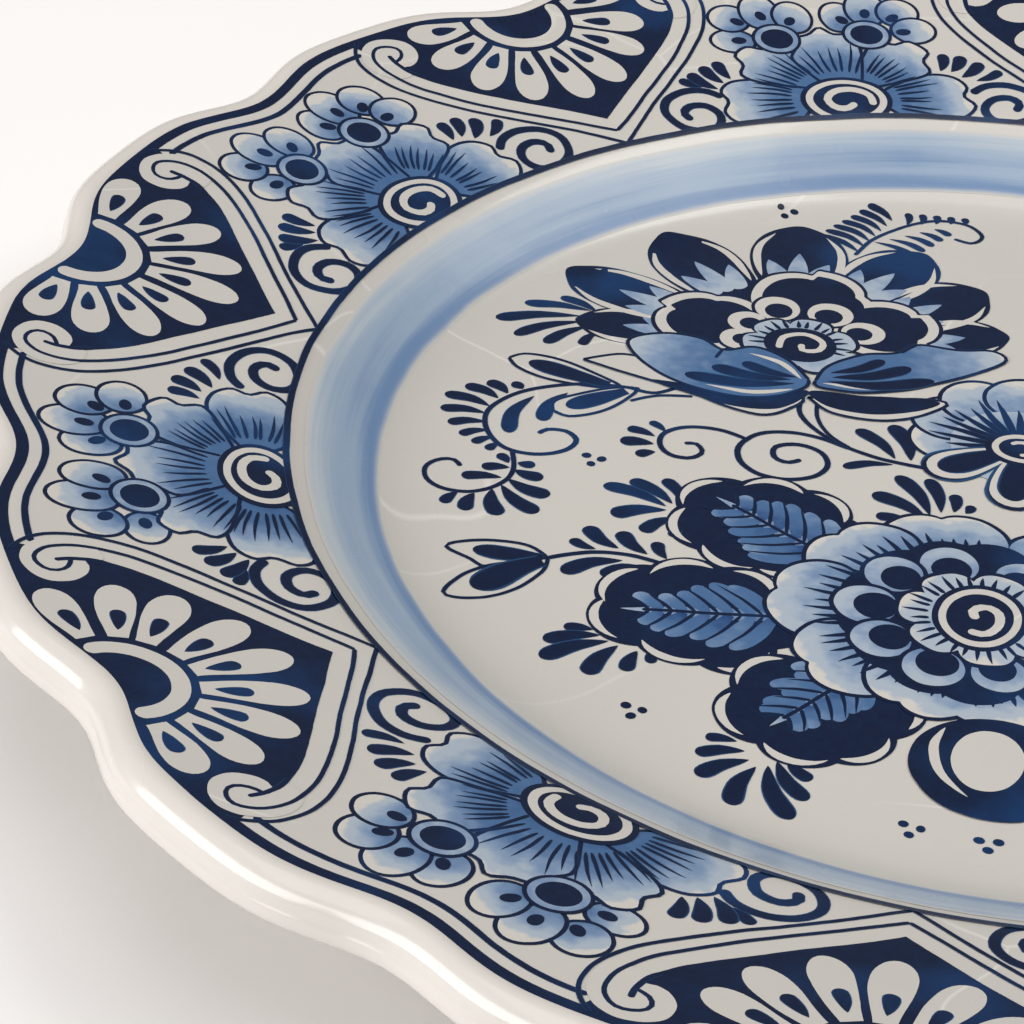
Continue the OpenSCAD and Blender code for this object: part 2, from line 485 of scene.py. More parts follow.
# Marks the lip and the underside: the glaze there is painted a lighter white as painted light, and has no
# crackle.
lip_share = section.attributes.new("lip", "FLOAT", "POINT")
for i in range(len(face_run), len(face_run) + len(back_run)):
    lip_share.data[i].value = 1.0
print("section points", len(section.vertices))

# %% Tree that turns a section
turning, pins = geometry_tree("turn_and_scallop", {
    "Steps": "Int", "Points": "Int", "Notches": "Float", "Depth": "Float", "Sharpness": "Float",
    "Start": "Float", "Line": "Float", "Slope": "Float", "Finish": "Material"})
sheet = turning.node("GeometryNodeMeshGrid", None,
                     {"Size X": 1.0, "Size Y": 1.0, "Vertices X": pins["Steps"] + 1.0,
                      "Vertices Y": pins["Points"]})
across, along, _ = turning.parts(turning.node("GeometryNodeInputPosition"))
angle = (across + 0.5) * (2 * math.pi)
index = ((along + 0.5) * (pins["Points"] - 1.0)).calc("ROUND")


def from_section(kind, value):
    """A value read off the section at this row of the sheet."""
    picked = turning.tree.nodes.new("GeometryNodeSampleIndex")
    picked.data_type = kind
    turning.feed(picked.inputs["Geometry"], pins["Geometry"])
    turning.feed(picked.inputs["Value"], value)
    turning.feed(picked.inputs["Index"], index)
    return Wire(turning, picked.outputs[0])


lip_value = turning.node("GeometryNodeInputNamedAttribute", {"data_type": "FLOAT"}, {"Name": "lip"})
r0, _, z0 = turning.parts(from_section("FLOAT_VECTOR", turning.node("GeometryNodeInputPosition")))
share = ((r0 - pins["Start"]) / (pins["Line"] - pins["Start"])).clamp()
wave = ((1.0 + (angle * pins["Notches"]).calc("COSINE")) / 2.0) ** pins["Sharpness"]
pull = pins["Depth"] * wave * share
r1 = r0 - pull
spot = turning.vector(r1 * angle.calc("COSINE"), r1 * angle.calc("SINE"), z0 - pins["Slope"] * pull)
marked = turning.node("GeometryNodeStoreNamedAttribute", {"data_type": "FLOAT", "domain": "POINT"},
                      {"Geometry": sheet, "Name": "lip", "Value": from_section("FLOAT", lip_value)})
turned = turning.node("GeometryNodeSetPosition", None, {"Geometry": marked, "Position": spot})
joined = turning.node("GeometryNodeMergeByDistance", None, {"Geometry": turned, "Distance": 0.000002})
close_tree(turning, joined, pins["Finish"])
print("turning tree", len(turning.tree.nodes), "nodes")

# %% The glazed ware
ware = grow("glazed_ware", section, turning.tree, {
    "Steps": 384, "Points": len(section.vertices), "Notches": float(NOTCHES), "Depth": NOTCH_DEPTH * MM,
    "Sharpness": NOTCH_POWER, "Start": LIP_START_R * MM, "Line": (PLATE_R - LIP_W) * MM,
    "Slope": FLANGE_SLOPE, "Finish": white_glaze})


def turn_outwards(mesh):
    """Points every face of a closed mesh outwards."""
    work = bmesh.new()
    work.from_mesh(mesh)
    bmesh.ops.recalc_face_normals(work, faces=work.faces)
    if work.calc_volume(signed=True) < 0:
        bmesh.ops.reverse_faces(work, faces=work.faces)
    work.to_mesh(mesh)
    work.free()


turn_outwards(ware.data)
add_piece(ware, ["clay_body", "front_glaze", "back_glaze", "rim_lip"])

# %% [markdown]
# ## The foot
# The plate stands on a low ring. Its tread is wiped clean before firing, so that it can't stick to the
# kiln shelf, and shows bare clay. It is a small rounded section turned by the same tree, with no
# notches. It could be part of the ware's section, but a piece of its own can have the clay's finish
# with a clean edge.

# %% Foot ring
foot_in = FOOT_R - FOOT_W
tread = smooth_run([(foot_in + 0.15, FOOT_Z), (foot_in + 0.25, 0.8), (foot_in + 1.2, 0.06),
                    (foot_in + 2.6, 0.0), (FOOT_R - 2.6, 0.0), (FOOT_R - 1.2, 0.06), (FOOT_R - 0.25, 0.8),
                    (FOOT_R - 0.15, FOOT_Z)], 0.35)
tread += [(FOOT_R - 0.4, FOOT_Z + 0.15), (foot_in + 0.4, FOOT_Z + 0.15), tread[0]]
foot_section = bpy.data.meshes.new("foot_section")
foot_section.from_pydata([(r * MM, 0, max(z, 0.0) * MM) for r, z in tread], [], [])
foot = grow("bare_foot", foot_section, turning.tree, {
    "Steps": 256, "Points": len(tread), "Notches": 0.0, "Depth": 0.0, "Sharpness": 1.0,
    "Start": 1.0, "Line": 2.0, "Slope": 0.0, "Finish": bare_clay})
turn_outwards(foot.data)
add_piece(foot, ["foot_ring"])

# %% [markdown]
# ## Laying paint on the ware
# A painter works on a curved plate but thinks of a flat drawing. The same split is used here. Every
# motif is drawn flat, in millimetres on the plan of the plate, and one tree of nodes repeats it round
# the plate, lets the hand shake a little, and lowers each point on to the face by the profile's own
# formula. Paint is real geometry, in sheets without thickness: each level lies fifteen thousandths of
# a millimetre over the one below, so that white left open in the blue, fine hairs and overlapping
# petals all keep crisp edges from any side.

# %% Tree that lays a drawing on the face
laying, pins = geometry_tree("lay_on_face", {
    "Copies": "Int", "Start": "Float", "Wobble": "Float", "Well height": "Float", "Well radius": "Float",
    "Well turn": "Float", "Flange radius": "Float", "Flange turn": "Float", "Wall slope": "Float",
    "Flange slope": "Float", "Finish": "Material"})


def soft_ramp(wire, width):
    """The profile's ramp, as nodes."""
    return width * (1.0 + (wire / width).calc("EXPONENT")).calc("LOGARITHM", math.e)


spokes = laying.node("GeometryNodeMeshLine", None, {"Count": pins["Copies"], "Offset": (0, 0, 0)})
step = laying.node("GeometryNodeInputIndex") * (2 * math.pi) / pins["Copies"]
rotation = laying.vector(0.0, 0.0, step + pins["Start"])
copies = laying.node("GeometryNodeInstanceOnPoints", None,
                     {"Points": spokes, "Instance": pins["Geometry"], "Rotation": rotation})
flat = laying.node("GeometryNodeRealizeInstances", None, {0: copies})
spot = laying.node("GeometryNodeInputPosition")
x, y, lift = laying.parts(spot)
plan = laying.vector(x, y, 0.0)
sway_x, sway_y, _ = laying.parts(laying.noise(90.0, 1.0, plan, out=1))
shake_x, shake_y, _ = laying.parts(laying.noise(650.0, 1.0, plan, out=1))
x = x + pins["Wobble"] * ((sway_x - 0.5) + 0.16 * (shake_x - 0.5))
y = y + pins["Wobble"] * ((sway_y - 0.5) + 0.16 * (shake_y - 0.5))
radius = (x * x + y * y).calc("SQRT") / MM
rise = pins["Wall slope"] * soft_ramp(radius - pins["Well radius"], pins["Well turn"])
flatter = pins["Wall slope"] - pins["Flange slope"]
bend = flatter * soft_ramp(radius - pins["Flange radius"], pins["Flange turn"])
height = (pins["Well height"] + rise - bend) * MM + lift
laid = laying.node("GeometryNodeSetPosition", None,
                   {"Geometry": flat, "Position": laying.vector(x, y, height)})
close_tree(laying, laid, pins["Finish"])


def lay(name, mesh, finish, copies=1, start=0.0, wobble=0.7):
    """Puts a flat drawing on the plate's face."""
    return grow(name, mesh, laying.tree, {
        "Copies": copies, "Start": math.radians(start), "Wobble": wobble * MM, "Well height": WELL_Z,
        "Well radius": WELL_R, "Well turn": WELL_TURN, "Flange radius": FLANGE_R,
        "Flange turn": FLANGE_TURN, "Wall slope": WALL_SLOPE, "Flange slope": FLANGE_SLOPE,
        "Finish": finish})


print("laying tree", len(laying.tree.nodes), "nodes")

# %% [markdown]
# ## The brush
# Nearly all of this style is made of a few moves. A line keeps its width and has round ends. A comma
# starts with the full belly of the brush and lifts to a hair. A petal does the opposite. A fill is an
# outline flooded with paint. The brush below knows those moves and sorts what it lays into dark cobalt,
# thinned cobalt and white left open.


# %% Stroke shapes
def line_share(t, end):
    """Full width with a round end at both sides; end is the share of the length that an end takes."""
    d = min(t, 1 - t) / end
    return 1.0 if d >= 1 else math.sqrt(max(0.0, 1 - (1 - d) ** 2))


def comma_share(t, end):
    """A round belly at the start, drawn out to a point."""
    belly = min(max(end, 0.2), 0.42)
    if t < belly:
        return math.sqrt(max(0.0, 1 - (1 - t / belly) ** 2))
    return (1 - ((t - belly) / (1 - belly)) ** 1.9) ** 0.85


def petal_share(t, end):
    """Narrow at the start, widest past the middle and round at the end."""
    if t < 0.68:
        return 0.5 + 0.5 * math.sin(t / 0.68 * math.pi / 2) ** 1.3
    return math.sqrt(max(0.0, 1 - ((t - 0.68) / 0.32) ** 2))


def leaf_share(t, end):
    """Pointed at both ends."""
    return math.sin(math.pi * t**0.85) ** 0.8 if 0 < t < 1 else 0.0


print("line at its middle", line_share(0.5, 0.1), "comma at its middle", round(comma_share(0.5, 0.1), 2))

# %% Outlines
def oval(centre, rx, ry, turn=0.0, count=16):
    """Points round an oval."""
    c, s = math.cos(math.radians(turn)), math.sin(math.radians(turn))
    out = []
    for i in range(count):
        a = 2 * math.pi * i / count
        u, v = rx * math.cos(a), ry * math.sin(a)
        out.append((centre[0] + u * c - v * s, centre[1] + u * s + v * c))
    return out


def lobed(centre, rx, ry, turn=0.0, lobes=5, depth=0.12, phase=0.0):
    """An oval whose edge is scalloped into lobes."""
    out = []
    for i, p in enumerate(oval((0, 0), rx, ry, 0.0, 12 * lobes)):
        a = math.pi * i / 12 + math.radians(phase)
        share = 1 - depth * (1 - abs(math.sin(a / 2))) ** 2
        c, s = math.cos(math.radians(turn)), math.sin(math.radians(turn))
        out.append((centre[0] + share * (p[0] * c - p[1] * s), centre[1] + share * (p[0] * s + p[1] * c)))
    return out


def inside(p, outline):
    """Whether a point is inside a closed outline."""
    hit = False
    for (x1, y1), (x2, y2) in zip(outline, outline[1:] + outline[:1]):
        if (y1 > p[1]) != (y2 > p[1]) and p[0] < x1 + (p[1] - y1) / (y2 - y1) * (x2 - x1):
            hit = not hit
    return hit


print("oval of", len(oval((0, 0), 1, 1)), "points, lobed outline of", len(lobed((0, 0), 1, 1)))

# %% Brush
FIRST_LIFT, LEVEL_LIFT, STROKE_LIFT = 0.04, 0.015, 0.00008
FINE_LINE = 0.55


class Brush:
    """Lays flat strokes in three paints. place turns a motif's own plan into the drawing's plan."""

    def __init__(self, grid=2.4):
        self.paints = {"dark": ([], [], []), "wash": ([], [], []), "white": ([], [], [])}
        self.grid, self.count = grid, 0
        self.place = lambda p: p

    def put(self, paint, level, points, tones, faces):
        """Keeps one stroke, at the height of its level, with its faces turned upwards."""
        where, shades, polygons = self.paints[paint]
        lift = FIRST_LIFT + LEVEL_LIFT * level + STROKE_LIFT * (self.count % 20)
        self.count += 1
        first = len(where)
        moved = [self.place(p) for p in points]
        where.extend((x * MM, y * MM, lift * MM) for x, y in moved)
        shades.extend(tones)
        for corners in faces:
            loop = [moved[i] for i in corners]
            area = sum(a[0] * b[1] - b[0] * a[1] for a, b in zip(loop, loop[1:] + loop[:1]))
            polygons.append([first + i for i in (corners if area > 0 else corners[::-1])])

    def stroke(self, points, width, paint="dark", level=0, share=line_share, tone=(1.0, 1.0)):
        """A ribbon of paint along a soft curve."""
        run = smooth_run(points, 0.35)
        reach = [0.0]
        for a, b in zip(run, run[1:]):
            reach.append(reach[-1] + math.dist(a, b))
        length = reach[-1]
        end = min(0.5, 0.5 * width / length)
        count = max(7, math.ceil(length / 0.8))
        stops = {i / count for i in range(count + 1)}
        stops |= {end * (1 - math.cos(k * math.pi / 10)) for k in range(5)}
        stops |= {1 - end * (1 - math.cos(k * math.pi / 10)) for k in range(5)}
        columns = max(2, math.ceil(width / 1.1))
        spots, tones, k = [], [], 0
        for t in sorted(stops):
            while k < len(reach) - 2 and reach[k + 1] < t * length:
                k += 1
            u = (t * length - reach[k]) / max(reach[k + 1] - reach[k], 1e-9)
            x, y = (a + (b - a) * u for a, b in zip(run[k], run[k + 1]))
            a, b = run[max(k - 1, 0)], run[min(k + 2, len(run) - 1)]
            size = math.dist(a, b)
            half = max(0.5 * width * share(t, end), 0.012)
            side = (-(b[1] - a[1]) / size * half, (b[0] - a[0]) / size * half)
            for c in range(columns + 1):
                s = 2 * c / columns - 1
                spots.append((x + side[0] * s, y + side[1] * s))
                tones.append(1 - abs(s) if paint == "dark" else tone[0] + (tone[1] - tone[0]) * t)
        row = columns + 1
        faces = [(i * row + c, (i + 1) * row + c, (i + 1) * row + c + 1, i * row + c + 1)
                 for i in range(len(stops) - 1) for c in range(columns)]
        self.put(paint, level, spots, tones, faces)

    def contour(self, outline, level):
        """A fine dark line all round an outline."""
        self.stroke(outline + outline[:1], FINE_LINE, "dark", level)

    def fill(self, outline, paint="dark", level=0, tone=1.0, middle=None, soft=True, hold=1.0):
        """Floods an outline. With a middle, tone runs from there to the far edge, and hold delays it."""
        rim = smooth_run(outline, 0.7, closed=True) if soft else list(outline)
        xs, ys = [p[0] for p in rim], [p[1] for p in rim]
        step = self.grid
        inner = []
        for i in range(int((max(xs) - min(xs)) / step)):
            for j in range(int((max(ys) - min(ys)) / step)):
                p = (min(xs) + step * (i + 0.6 + 0.5 * (j % 2)), min(ys) + step * (j + 0.6))
                if inside(p, rim) and min(math.dist(p, q) for q in rim) > 0.4 * step:
                    inner.append(p)
        loop = [(i, (i + 1) % len(rim)) for i in range(len(rim))]
        made = delaunay_2d_cdt([Vector(p) for p in rim + inner], loop, [], 1, 1e-5)
        spots = [(v.x, v.y) for v in made[0]]
        if middle is None:
            tones = [1.0] * len(spots)
        else:
            far = max(math.dist(middle, p) for p in spots)
            near = min(math.dist(middle, p) for p in rim)
            near = 0.0 if inside(middle, rim) else near
            share = [max(0.0, (math.dist(middle, p) - near) / (far - near)) ** hold for p in spots]
            tones = [tone[0] + (tone[1] - tone[0]) * t for t in share]
        self.put(paint, level, spots, tones, [tuple(f) for f in made[2]])

    def comma(self, head, tail, width, bow=0.12, paint="dark", level=0, tone=(1.0, 1.0)):
        """One pressed and lifted stroke. bow bends it to its left, as a share of its length."""
        mx, my = (head[0] + tail[0]) / 2, (head[1] + tail[1]) / 2
        mid = (mx - (tail[1] - head[1]) * bow, my + (tail[0] - head[0]) * bow)
        self.stroke([head, mid, tail], width, paint, level, comma_share, tone)

    def commas(self, rows, level=0, bow=0.12):
        """A row of commas, each given as its head, its tail and its width."""
        for hx, hy, tx, ty, width in rows:
            self.comma((hx, hy), (tx, ty), 1.15 * width, bow, level=level)

    def arc(self, centre, r, start, stop, width, paint="dark", level=0, share=line_share,
            tone=(1.0, 1.0)):
        """A stroke along part of a circle or of an oval."""
        rx, ry = r if isinstance(r, tuple) else (r, r)
        count = max(3, math.ceil(abs(stop - start) / 20))
        turns = [math.radians(start + (stop - start) * i / count) for i in range(count + 1)]
        points = [(centre[0] + rx * math.cos(a), centre[1] + ry * math.sin(a)) for a in turns]
        self.stroke(points, width, paint, level, share, tone)

    def rays(self, centre, near, far, start, stop, count, width, paint="dark", level=0):
        """Fine hairs that fan out from a centre, no two alike."""
        for i in range(count):
            a = start + (stop - start) * (i + hand.uniform(-0.18, 0.18)) / max(count - 1, 1)
            reach = far - (far - near) * hand.uniform(0.0, 0.35)
            bow = hand.uniform(-0.03, 0.03)
            self.comma(polar(near, a, centre), polar(reach, a, centre), width, bow, paint, level)

    def dots(self, places, r=0.7, level=0):
        """Dabs with the tip of the brush."""
        for x, y in places:
            dab = oval((x, y), r * hand.uniform(0.85, 1.15), r, hand.uniform(0, 90), 8)
            self.fill(dab, "dark", level)

    def meshes(self, name):
        """One mesh for each paint that was used, with the tone of each point."""
        made = {}
        for paint, (where, shades, polygons) in self.paints.items():
            if not where:
                continue
            mesh = bpy.data.meshes.new(name + "_" + paint)
            mesh.from_pydata(where, [], polygons)
            mesh.attributes.new("tone", "FLOAT", "POINT").data.foreach_set("value", shades)
            made[paint] = mesh
        return made


print("brush ready")

# %% Laying all of a brush's paint
FINISHES = {"dark": cobalt, "wash": wash, "white": white_glaze}


def lay_all(name, brush, node, copies=1, start=0.0, wobble=0.7):
    """Lays every paint of a brush on the plate, all standing for one part of the design."""
    for paint, mesh in brush.meshes(name).items():
        piece = lay(name + "_" + paint, mesh, FINISHES[paint], copies, start, wobble)
        add_piece(piece, [node])


print("paints", list(FINISHES))

# %% [markdown]
# ## Lines and band
# Three plain lines set out the whole design. They are drawn first, with the plate turning under a still
# brush: the dark line beside the lip, a fine line where the flange begins, and the broad pale band on
# the wall.


# %% Turned lines
def ring_mesh(name, inner, outer, rows, steps=720, tone=None, fade=None, level=0):
    """A flat ring between two radii, each a function of the angle in degrees."""
    spots, faces, tones, fades = [], [], [], []
    for i in range(steps):
        a = 360 * i / steps
        for j in range(rows + 1):
            t = j / rows
            x, y = polar(inner(a) + (outer(a) - inner(a)) * t, a)
            spots.append((x * MM, y * MM, (FIRST_LIFT + LEVEL_LIFT * level) * MM))
            tones.append(tone(t) if tone else 1.0)
            fades.append(fade(t) if fade else 0.0)
    row = rows + 1
    for i in range(steps):
        n = (i + 1) % steps
        faces += [(i * row + j, i * row + j + 1, n * row + j + 1, n * row + j) for j in range(rows)]
    mesh = bpy.data.meshes.new(name)
    mesh.from_pydata(spots, [], faces)
    mesh.attributes.new("tone", "FLOAT", "POINT").data.foreach_set("value", tones)
    mesh.attributes.new("fade", "FLOAT", "POINT").data.foreach_set("value", fades)
    return mesh


def band_tone(t):
    """Deepest towards the well, with a fainter second streak near its middle."""
    first = 0.30 * math.exp(-(((t - 0.12) / 0.12) ** 2))
    second = 0.16 * math.exp(-(((t - 0.55) / 0.1) ** 2))
    return 0.80 - 0.70 * t + first + second


def band_fade(t):
    """Soft at both edges, where the brush ran dry."""
    return max(0.0, 1 - t / 0.1) ** 1.5 + max(0.0, (t - 0.9) / 0.1) ** 1.5


print("band tone", [round(band_tone(t / 4), 2) for t in range(5)])

# %% Three lines laid
edge_mesh = ring_mesh("edge_line", lambda a: edge(a, LIP_W + 1.2), lambda a: edge(a, LIP_W - 0.3), 2, 960)
add_piece(lay("edge_line_dark", edge_mesh, cobalt, wobble=0.35), ["edge_line"])
flange_mesh = ring_mesh("flange_line", lambda a: 89.6, lambda a: 90.45, 2, level=10,
                        tone=lambda t: 1 - abs(2 * t - 1))
add_piece(lay("flange_line_dark", flange_mesh, cobalt, wobble=0.5), ["flange_line"])
band_mesh = ring_mesh("wall_band", lambda a: 78.6, lambda a: 87.9, 24, 480, band_tone, band_fade)
add_piece(lay("wall_band_wash", band_mesh, band_wash, wobble=0.6), ["wall_band"])

# %% [markdown]
# ## Dark panels
# Eight pointed panels hang inwards from every second notch. Each is a field of dense cobalt with half a
# daisy left white in it, two fine lines that run beside its sides, and a white volute at each corner. A
# painter leaves the white open. Cutting holes in the field would do the same, but white strokes laid on
# it look no different and are far simpler. One panel is drawn pointing along X, and the tree repeats
# it.

# %% One dark panel
panel = Brush(grid=2.6)
side = [(95.8, 0.0), (98, 2.9), (101, 7.2), (104, 11.5), (107, 15.7), (110, 19.5), (112.2, 21.6),
        (113.4, 22.6), (115.5, 24.2), (117.8, 25.2), (119.4, 26.4), (120.9, 27.3)]
rim = [polar(edge(a, LIP_W + 0.4), a) for a in [12.3 - 0.6 * i for i in range(42)]]
field = smooth_run(side, 0.8) + rim + [(x, -y) for x, y in reversed(smooth_run(side, 0.8))][:-1]
panel.fill(field, "dark", 0, soft=False)
INNER_LINE = [(93, 0), (95, 3), (98, 7.3), (101, 11.7), (104, 16), (107, 19.7), (110, 22.9),
              (113.2, 25.1), (115.6, 26.0), (117.6, 26.1), (119.1, 25.5), (120.1, 24.5), (120.3, 23.2),
              (119.8, 21.9), (118.9, 21.4), (118, 21.5), (117.1, 22.1), (116.4, 23.2)]
OUTER_LINE = [(90.2, 0), (93, 3.6), (96, 7.6), (99, 12), (102, 16.4), (105, 20.4), (108, 23.9),
              (111, 26.4), (114, 28), (117, 28.6), (119.2, 28.2), (120.8, 27.4), (122.2, 26.4)]
FIELD_LINE = [(112.7, 21.6), (113.7, 22.4), (114.5, 22.8), (115.4, 23.1), (116.5, 23.4), (118.1, 23.5)]
VOLUTE = [(112.9, 22.5), (114.2, 22.9), (115, 22.7), (115, 21.6), (115.6, 20.4), (116.6, 19.6),
          (117.8, 19.1), (119, 19.1), (120.3, 19.5), (121.3, 20.5), (121.9, 22), (122, 23.8),
          (121.4, 25.4), (120, 26.9), (117.4, 27.9), (114.6, 27.2), (112.8, 25.2)]
DAISY = (121.4, 0.3)
for flip in (1, -1):
    panel.place = lambda p, f=flip: (p[0], f * p[1])
    panel.fill(VOLUTE, "white", 1)
    panel.stroke(FIELD_LINE, 0.7, "dark", 2)
    panel.stroke(INNER_LINE, 0.56, "dark", 2)
    panel.stroke(OUTER_LINE, 0.56, "dark", 2)
panel.place = lambda p: p
panel.arc(DAISY, 6.45, 79, 281, 2.1, "white", 1)
for i in range(9):
    a = 90 + 22.5 * i
    reach = 18.2 + 2.3 * math.sin(math.radians(a - 90)) + hand.uniform(-0.3, 0.3)
    a += hand.uniform(-1.2, 1.2)
    petal = [polar(8.5, a, DAISY), polar(13, a + 0.8, DAISY), polar(reach, a, DAISY)]
    panel.stroke(petal, 4.7, "white", 1, petal_share)
    panel.comma(polar(14.2, a, DAISY), polar(10.0, a, DAISY), 1.9, 0.02, "dark", 2)
lay_all("rim_panels", panel, "rim_panels", PANELS)

# %% [markdown]
# ## Light sections
# Between the panels the flange stays white, with a flower that grows out of the flange line like a fan.
# Its petals are thinned cobalt, palest at their tips, each with a fine outline and hairs drawn outwards
# from the eye. Two small flowers, two curls and rows of commas fill the rest.

# %% Fan flower
fan = Brush(grid=1.1)
EYE = (93.4, 0.3)
EYE_SPIRAL = [(92, -3.4), (94.3, -3.2), (95.6, -1.2), (95.4, 1.5), (93.8, 3.1), (92, 2.4), (91.6, 0.6),
              (92.6, -0.8)]
FAN_PETALS = [
    [(93, 5), (88.6, 9), (88.4, 16.6), (90.6, 18.9), (93.3, 17.9), (95.6, 18.6), (98, 16.4), (98.3, 12),
     (97, 7)],
    [(95, -5), (98.6, -12), (98.2, -16.2), (95.6, -18.2), (93.4, -17.3), (91, -18.4), (88.6, -15.6),
     (88.6, -9), (92, -5)],
    [(96, 4), (97.6, 12), (99.6, 14.9), (102, 14.2), (104.2, 15), (106.2, 13), (105.6, 10.4), (106, 7.6),
     (100, 3)],
    [(96, -4), (97.6, -10), (99.3, -13.4), (102, -13), (104, -14.2), (106.6, -12), (106, -9.4),
     (107, -6.6), (102, -3.4)],
    [(97, 3), (103, 6.6), (105.8, 5.6), (108, 5.6), (109, 3), (110.6, 1), (109, -1), (108.6, -3.4),
     (105, -4.2), (98, -3)],
]


def beyond_line(p):
    """Keeps a motif on the outer side of the flange line."""
    r = math.hypot(*p)
    k = 1.0 if r > 90.1 else (90.1 - 0.03 * (90.1 - r)) / r
    return (p[0] * k, p[1] * k)


fan.place = beyond_line
for i, outline in enumerate(FAN_PETALS):
    fan.fill(outline, "wash", 1 + 0.5 * i, (0.70, -0.2), EYE, hold=2.0)
    fan.stroke(outline, FINE_LINE, "dark", 1.3 + 0.5 * i)
HAIRS = ((72, 106, 6.6, 15.4), (-72, -106, 6.6, 15), (34, 68, 6.2, 14.6), (-34, -66, 6.2, 13.4),
         (-24, 28, 5.2, 14.6))
for start, stop, near, far in HAIRS:
    fan.rays(EYE, near + 1.4, far, start, stop, 7, 0.5, "dark", 4.4)
fan.fill(oval(EYE, 5.2, 6.8), "dark", 6)
fan.fill(oval(EYE, 4.5, 6.0), "white", 7)
fan.fill(oval(EYE, 3.6, 4.9), "dark", 8)
fan.stroke(EYE_SPIRAL, 1.15, "white", 9)

print("fan flower", fan.count, "strokes")

# %% Small flowers of the light section
SMALL = [((108, 8), [(107.6, 14.6, 2.4, 3.1), (113, 14.3, 3.0, 2.9), (114.6, 9.4, 3.9, 2.8),
                     (113.2, 4.6, 3.6, 2.7)],
          [(107.7, 13.7), (112.2, 13.2), (113.6, 9.3), (112.2, 5.2)]),
         ((108.6, -6), [(113.2, -2.5, 3.4, 2.5), (114.9, -7, 3.9, 2.9), (113.6, -11.7, 3.2, 2.9),
                        (109.2, -13.2, 2.8, 3.1)],
          [(112.4, -3), (113.8, -6.8), (112.4, -10.6), (108.9, -11.6)])]
for centre, petals, dots in SMALL:
    for i, (px, py, rx, ry) in enumerate(petals):
        fan.fill(oval((px, py), rx + 0.5, ry + 0.5, 0, 14), "dark", 0.2 + 0.4 * i)
        fan.fill(oval((px, py), rx, ry, 0, 14), "wash", 0.4 + 0.4 * i, (0.5, -0.24), centre, hold=1.6)
    for x, y in dots:
        turn = math.degrees(math.atan2(y - centre[1], x - centre[0]))
        fan.fill(oval((x, y), 1.15, 0.8, turn, 8), "dark", 3.4)
    fan.fill(oval(centre, 3.6, 3.7), "dark", 4)
    fan.fill(oval(centre, 3.1, 3.2), "wash", 4.5, (0.1, 0.3), centre)
    fan.fill(oval(centre, 2.3, 2.4), "dark", 5)

print("with its small flowers", fan.count, "strokes")

# %% Curls and commas of the light section
ONE_CURL = [(94.3, 18.6), (95.7, 21.1), (95.5, 24.2), (93.5, 27), (90.4, 27.9), (87.6, 26), (86.8, 23),
            (87.8, 20.4), (90.2, 19.8), (92.2, 21.4), (92.2, 23.8), (90.6, 25.1), (89, 24.2)]
OTHER_CURL = [(94.1, -18.6), (95.5, -21.1), (95.3, -24.3), (93.2, -27.2), (90.2, -28), (87.4, -26),
              (86.8, -22.6), (88.2, -20), (90.6, -19.6), (92.4, -21.4), (92.4, -23.8), (90.8, -25),
              (89.2, -24)]
ONE_ROW = [(98, 24.5, 96.9, 20.4, 1.5), (99.6, 22.8, 96.2, 18.9, 1.9), (101.4, 20.6, 97.6, 17.8, 1.9),
           (102.7, 18.2, 98.6, 16.6, 1.8)]
OTHER_ROW = [(98.7, -24.2, 96.9, -20, 1.5), (101, -21.7, 97.9, -17.9, 1.9),
             (102.9, -19.2, 99.3, -16.7, 1.9), (103.5, -16.4, 99.6, -15.1, 1.7)]
fan.stroke(ONE_CURL, 1.35, "dark", 0)
fan.stroke(OTHER_CURL, 1.35, "dark", 0)
fan.commas(ONE_ROW, 0, -0.08)
fan.commas(OTHER_ROW, 0, 0.08)
inner_edge = [polar(edge(22.5 + a, 7.7), a) for a in [9.6 - 0.8 * i for i in range(25)]]
fan.stroke(inner_edge, 0.85, "dark", 0)
lay_all("rim_flowers", fan, "rim_flowers", PANELS, start=22.5)

# %% [markdown]
# ## The bouquet
# The well holds a loose bunch of flowers: a lotus above, a small flower in the middle, a full rose with
# dark leaves below, and sprigs, scrolls and buds around them. Every motif is a function that uses the
# same few strokes. The left half is laid out first, and its motifs are then turned over and varied for
# the right half.

# %% [markdown]
# ### Sprigs, scrolls and buds
# These are drawn with the tip of the brush: a thin curved stem first, then commas that lean along it.
# Each stem is a few points with a soft curve through them.

# %% Sprigs
bunch = Brush(grid=2.2)

FROND = [(-50, 11.3), (-56, 10.5), (-60.5, 8.6), (-65, 5), (-67.3, 0), (-66.3, -4.5), (-63.3, -7.8),
         (-59, -8.2), (-55.8, -6.2), (-54.8, -3.6), (-56.4, -1.7), (-58.8, -1.9), (-59.8, -3.3)]
FROND_COMMAS = [(-66.2, 7.4, -64.4, 6.4, 1.5), (-69.3, 6.8, -66, 4.7, 1.7), (-71.7, 4.9, -66.8, 3.2, 1.8),
                (-73.6, 2, -67.3, 1, 1.8), (-73.2, -1.6, -67.4, -0.8, 1.7),
                (-71.4, -4.6, -66.8, -2.8, 1.6), (-69.2, -6.8, -66, -4.6, 1.4),
                (-67.1, -8.2, -65, -6, 1.3), (-65, -9.2, -64, -7.2, 1.2)]
SPRIG = [(-62, -8.3), (-60.9, -12), (-61.1, -15), (-62.6, -17.6), (-65, -19.2), (-68, -19.3),
         (-70.5, -18), (-71.3, -15.5), (-70.2, -13.4), (-68.5, -12.8), (-67.3, -13.9)]
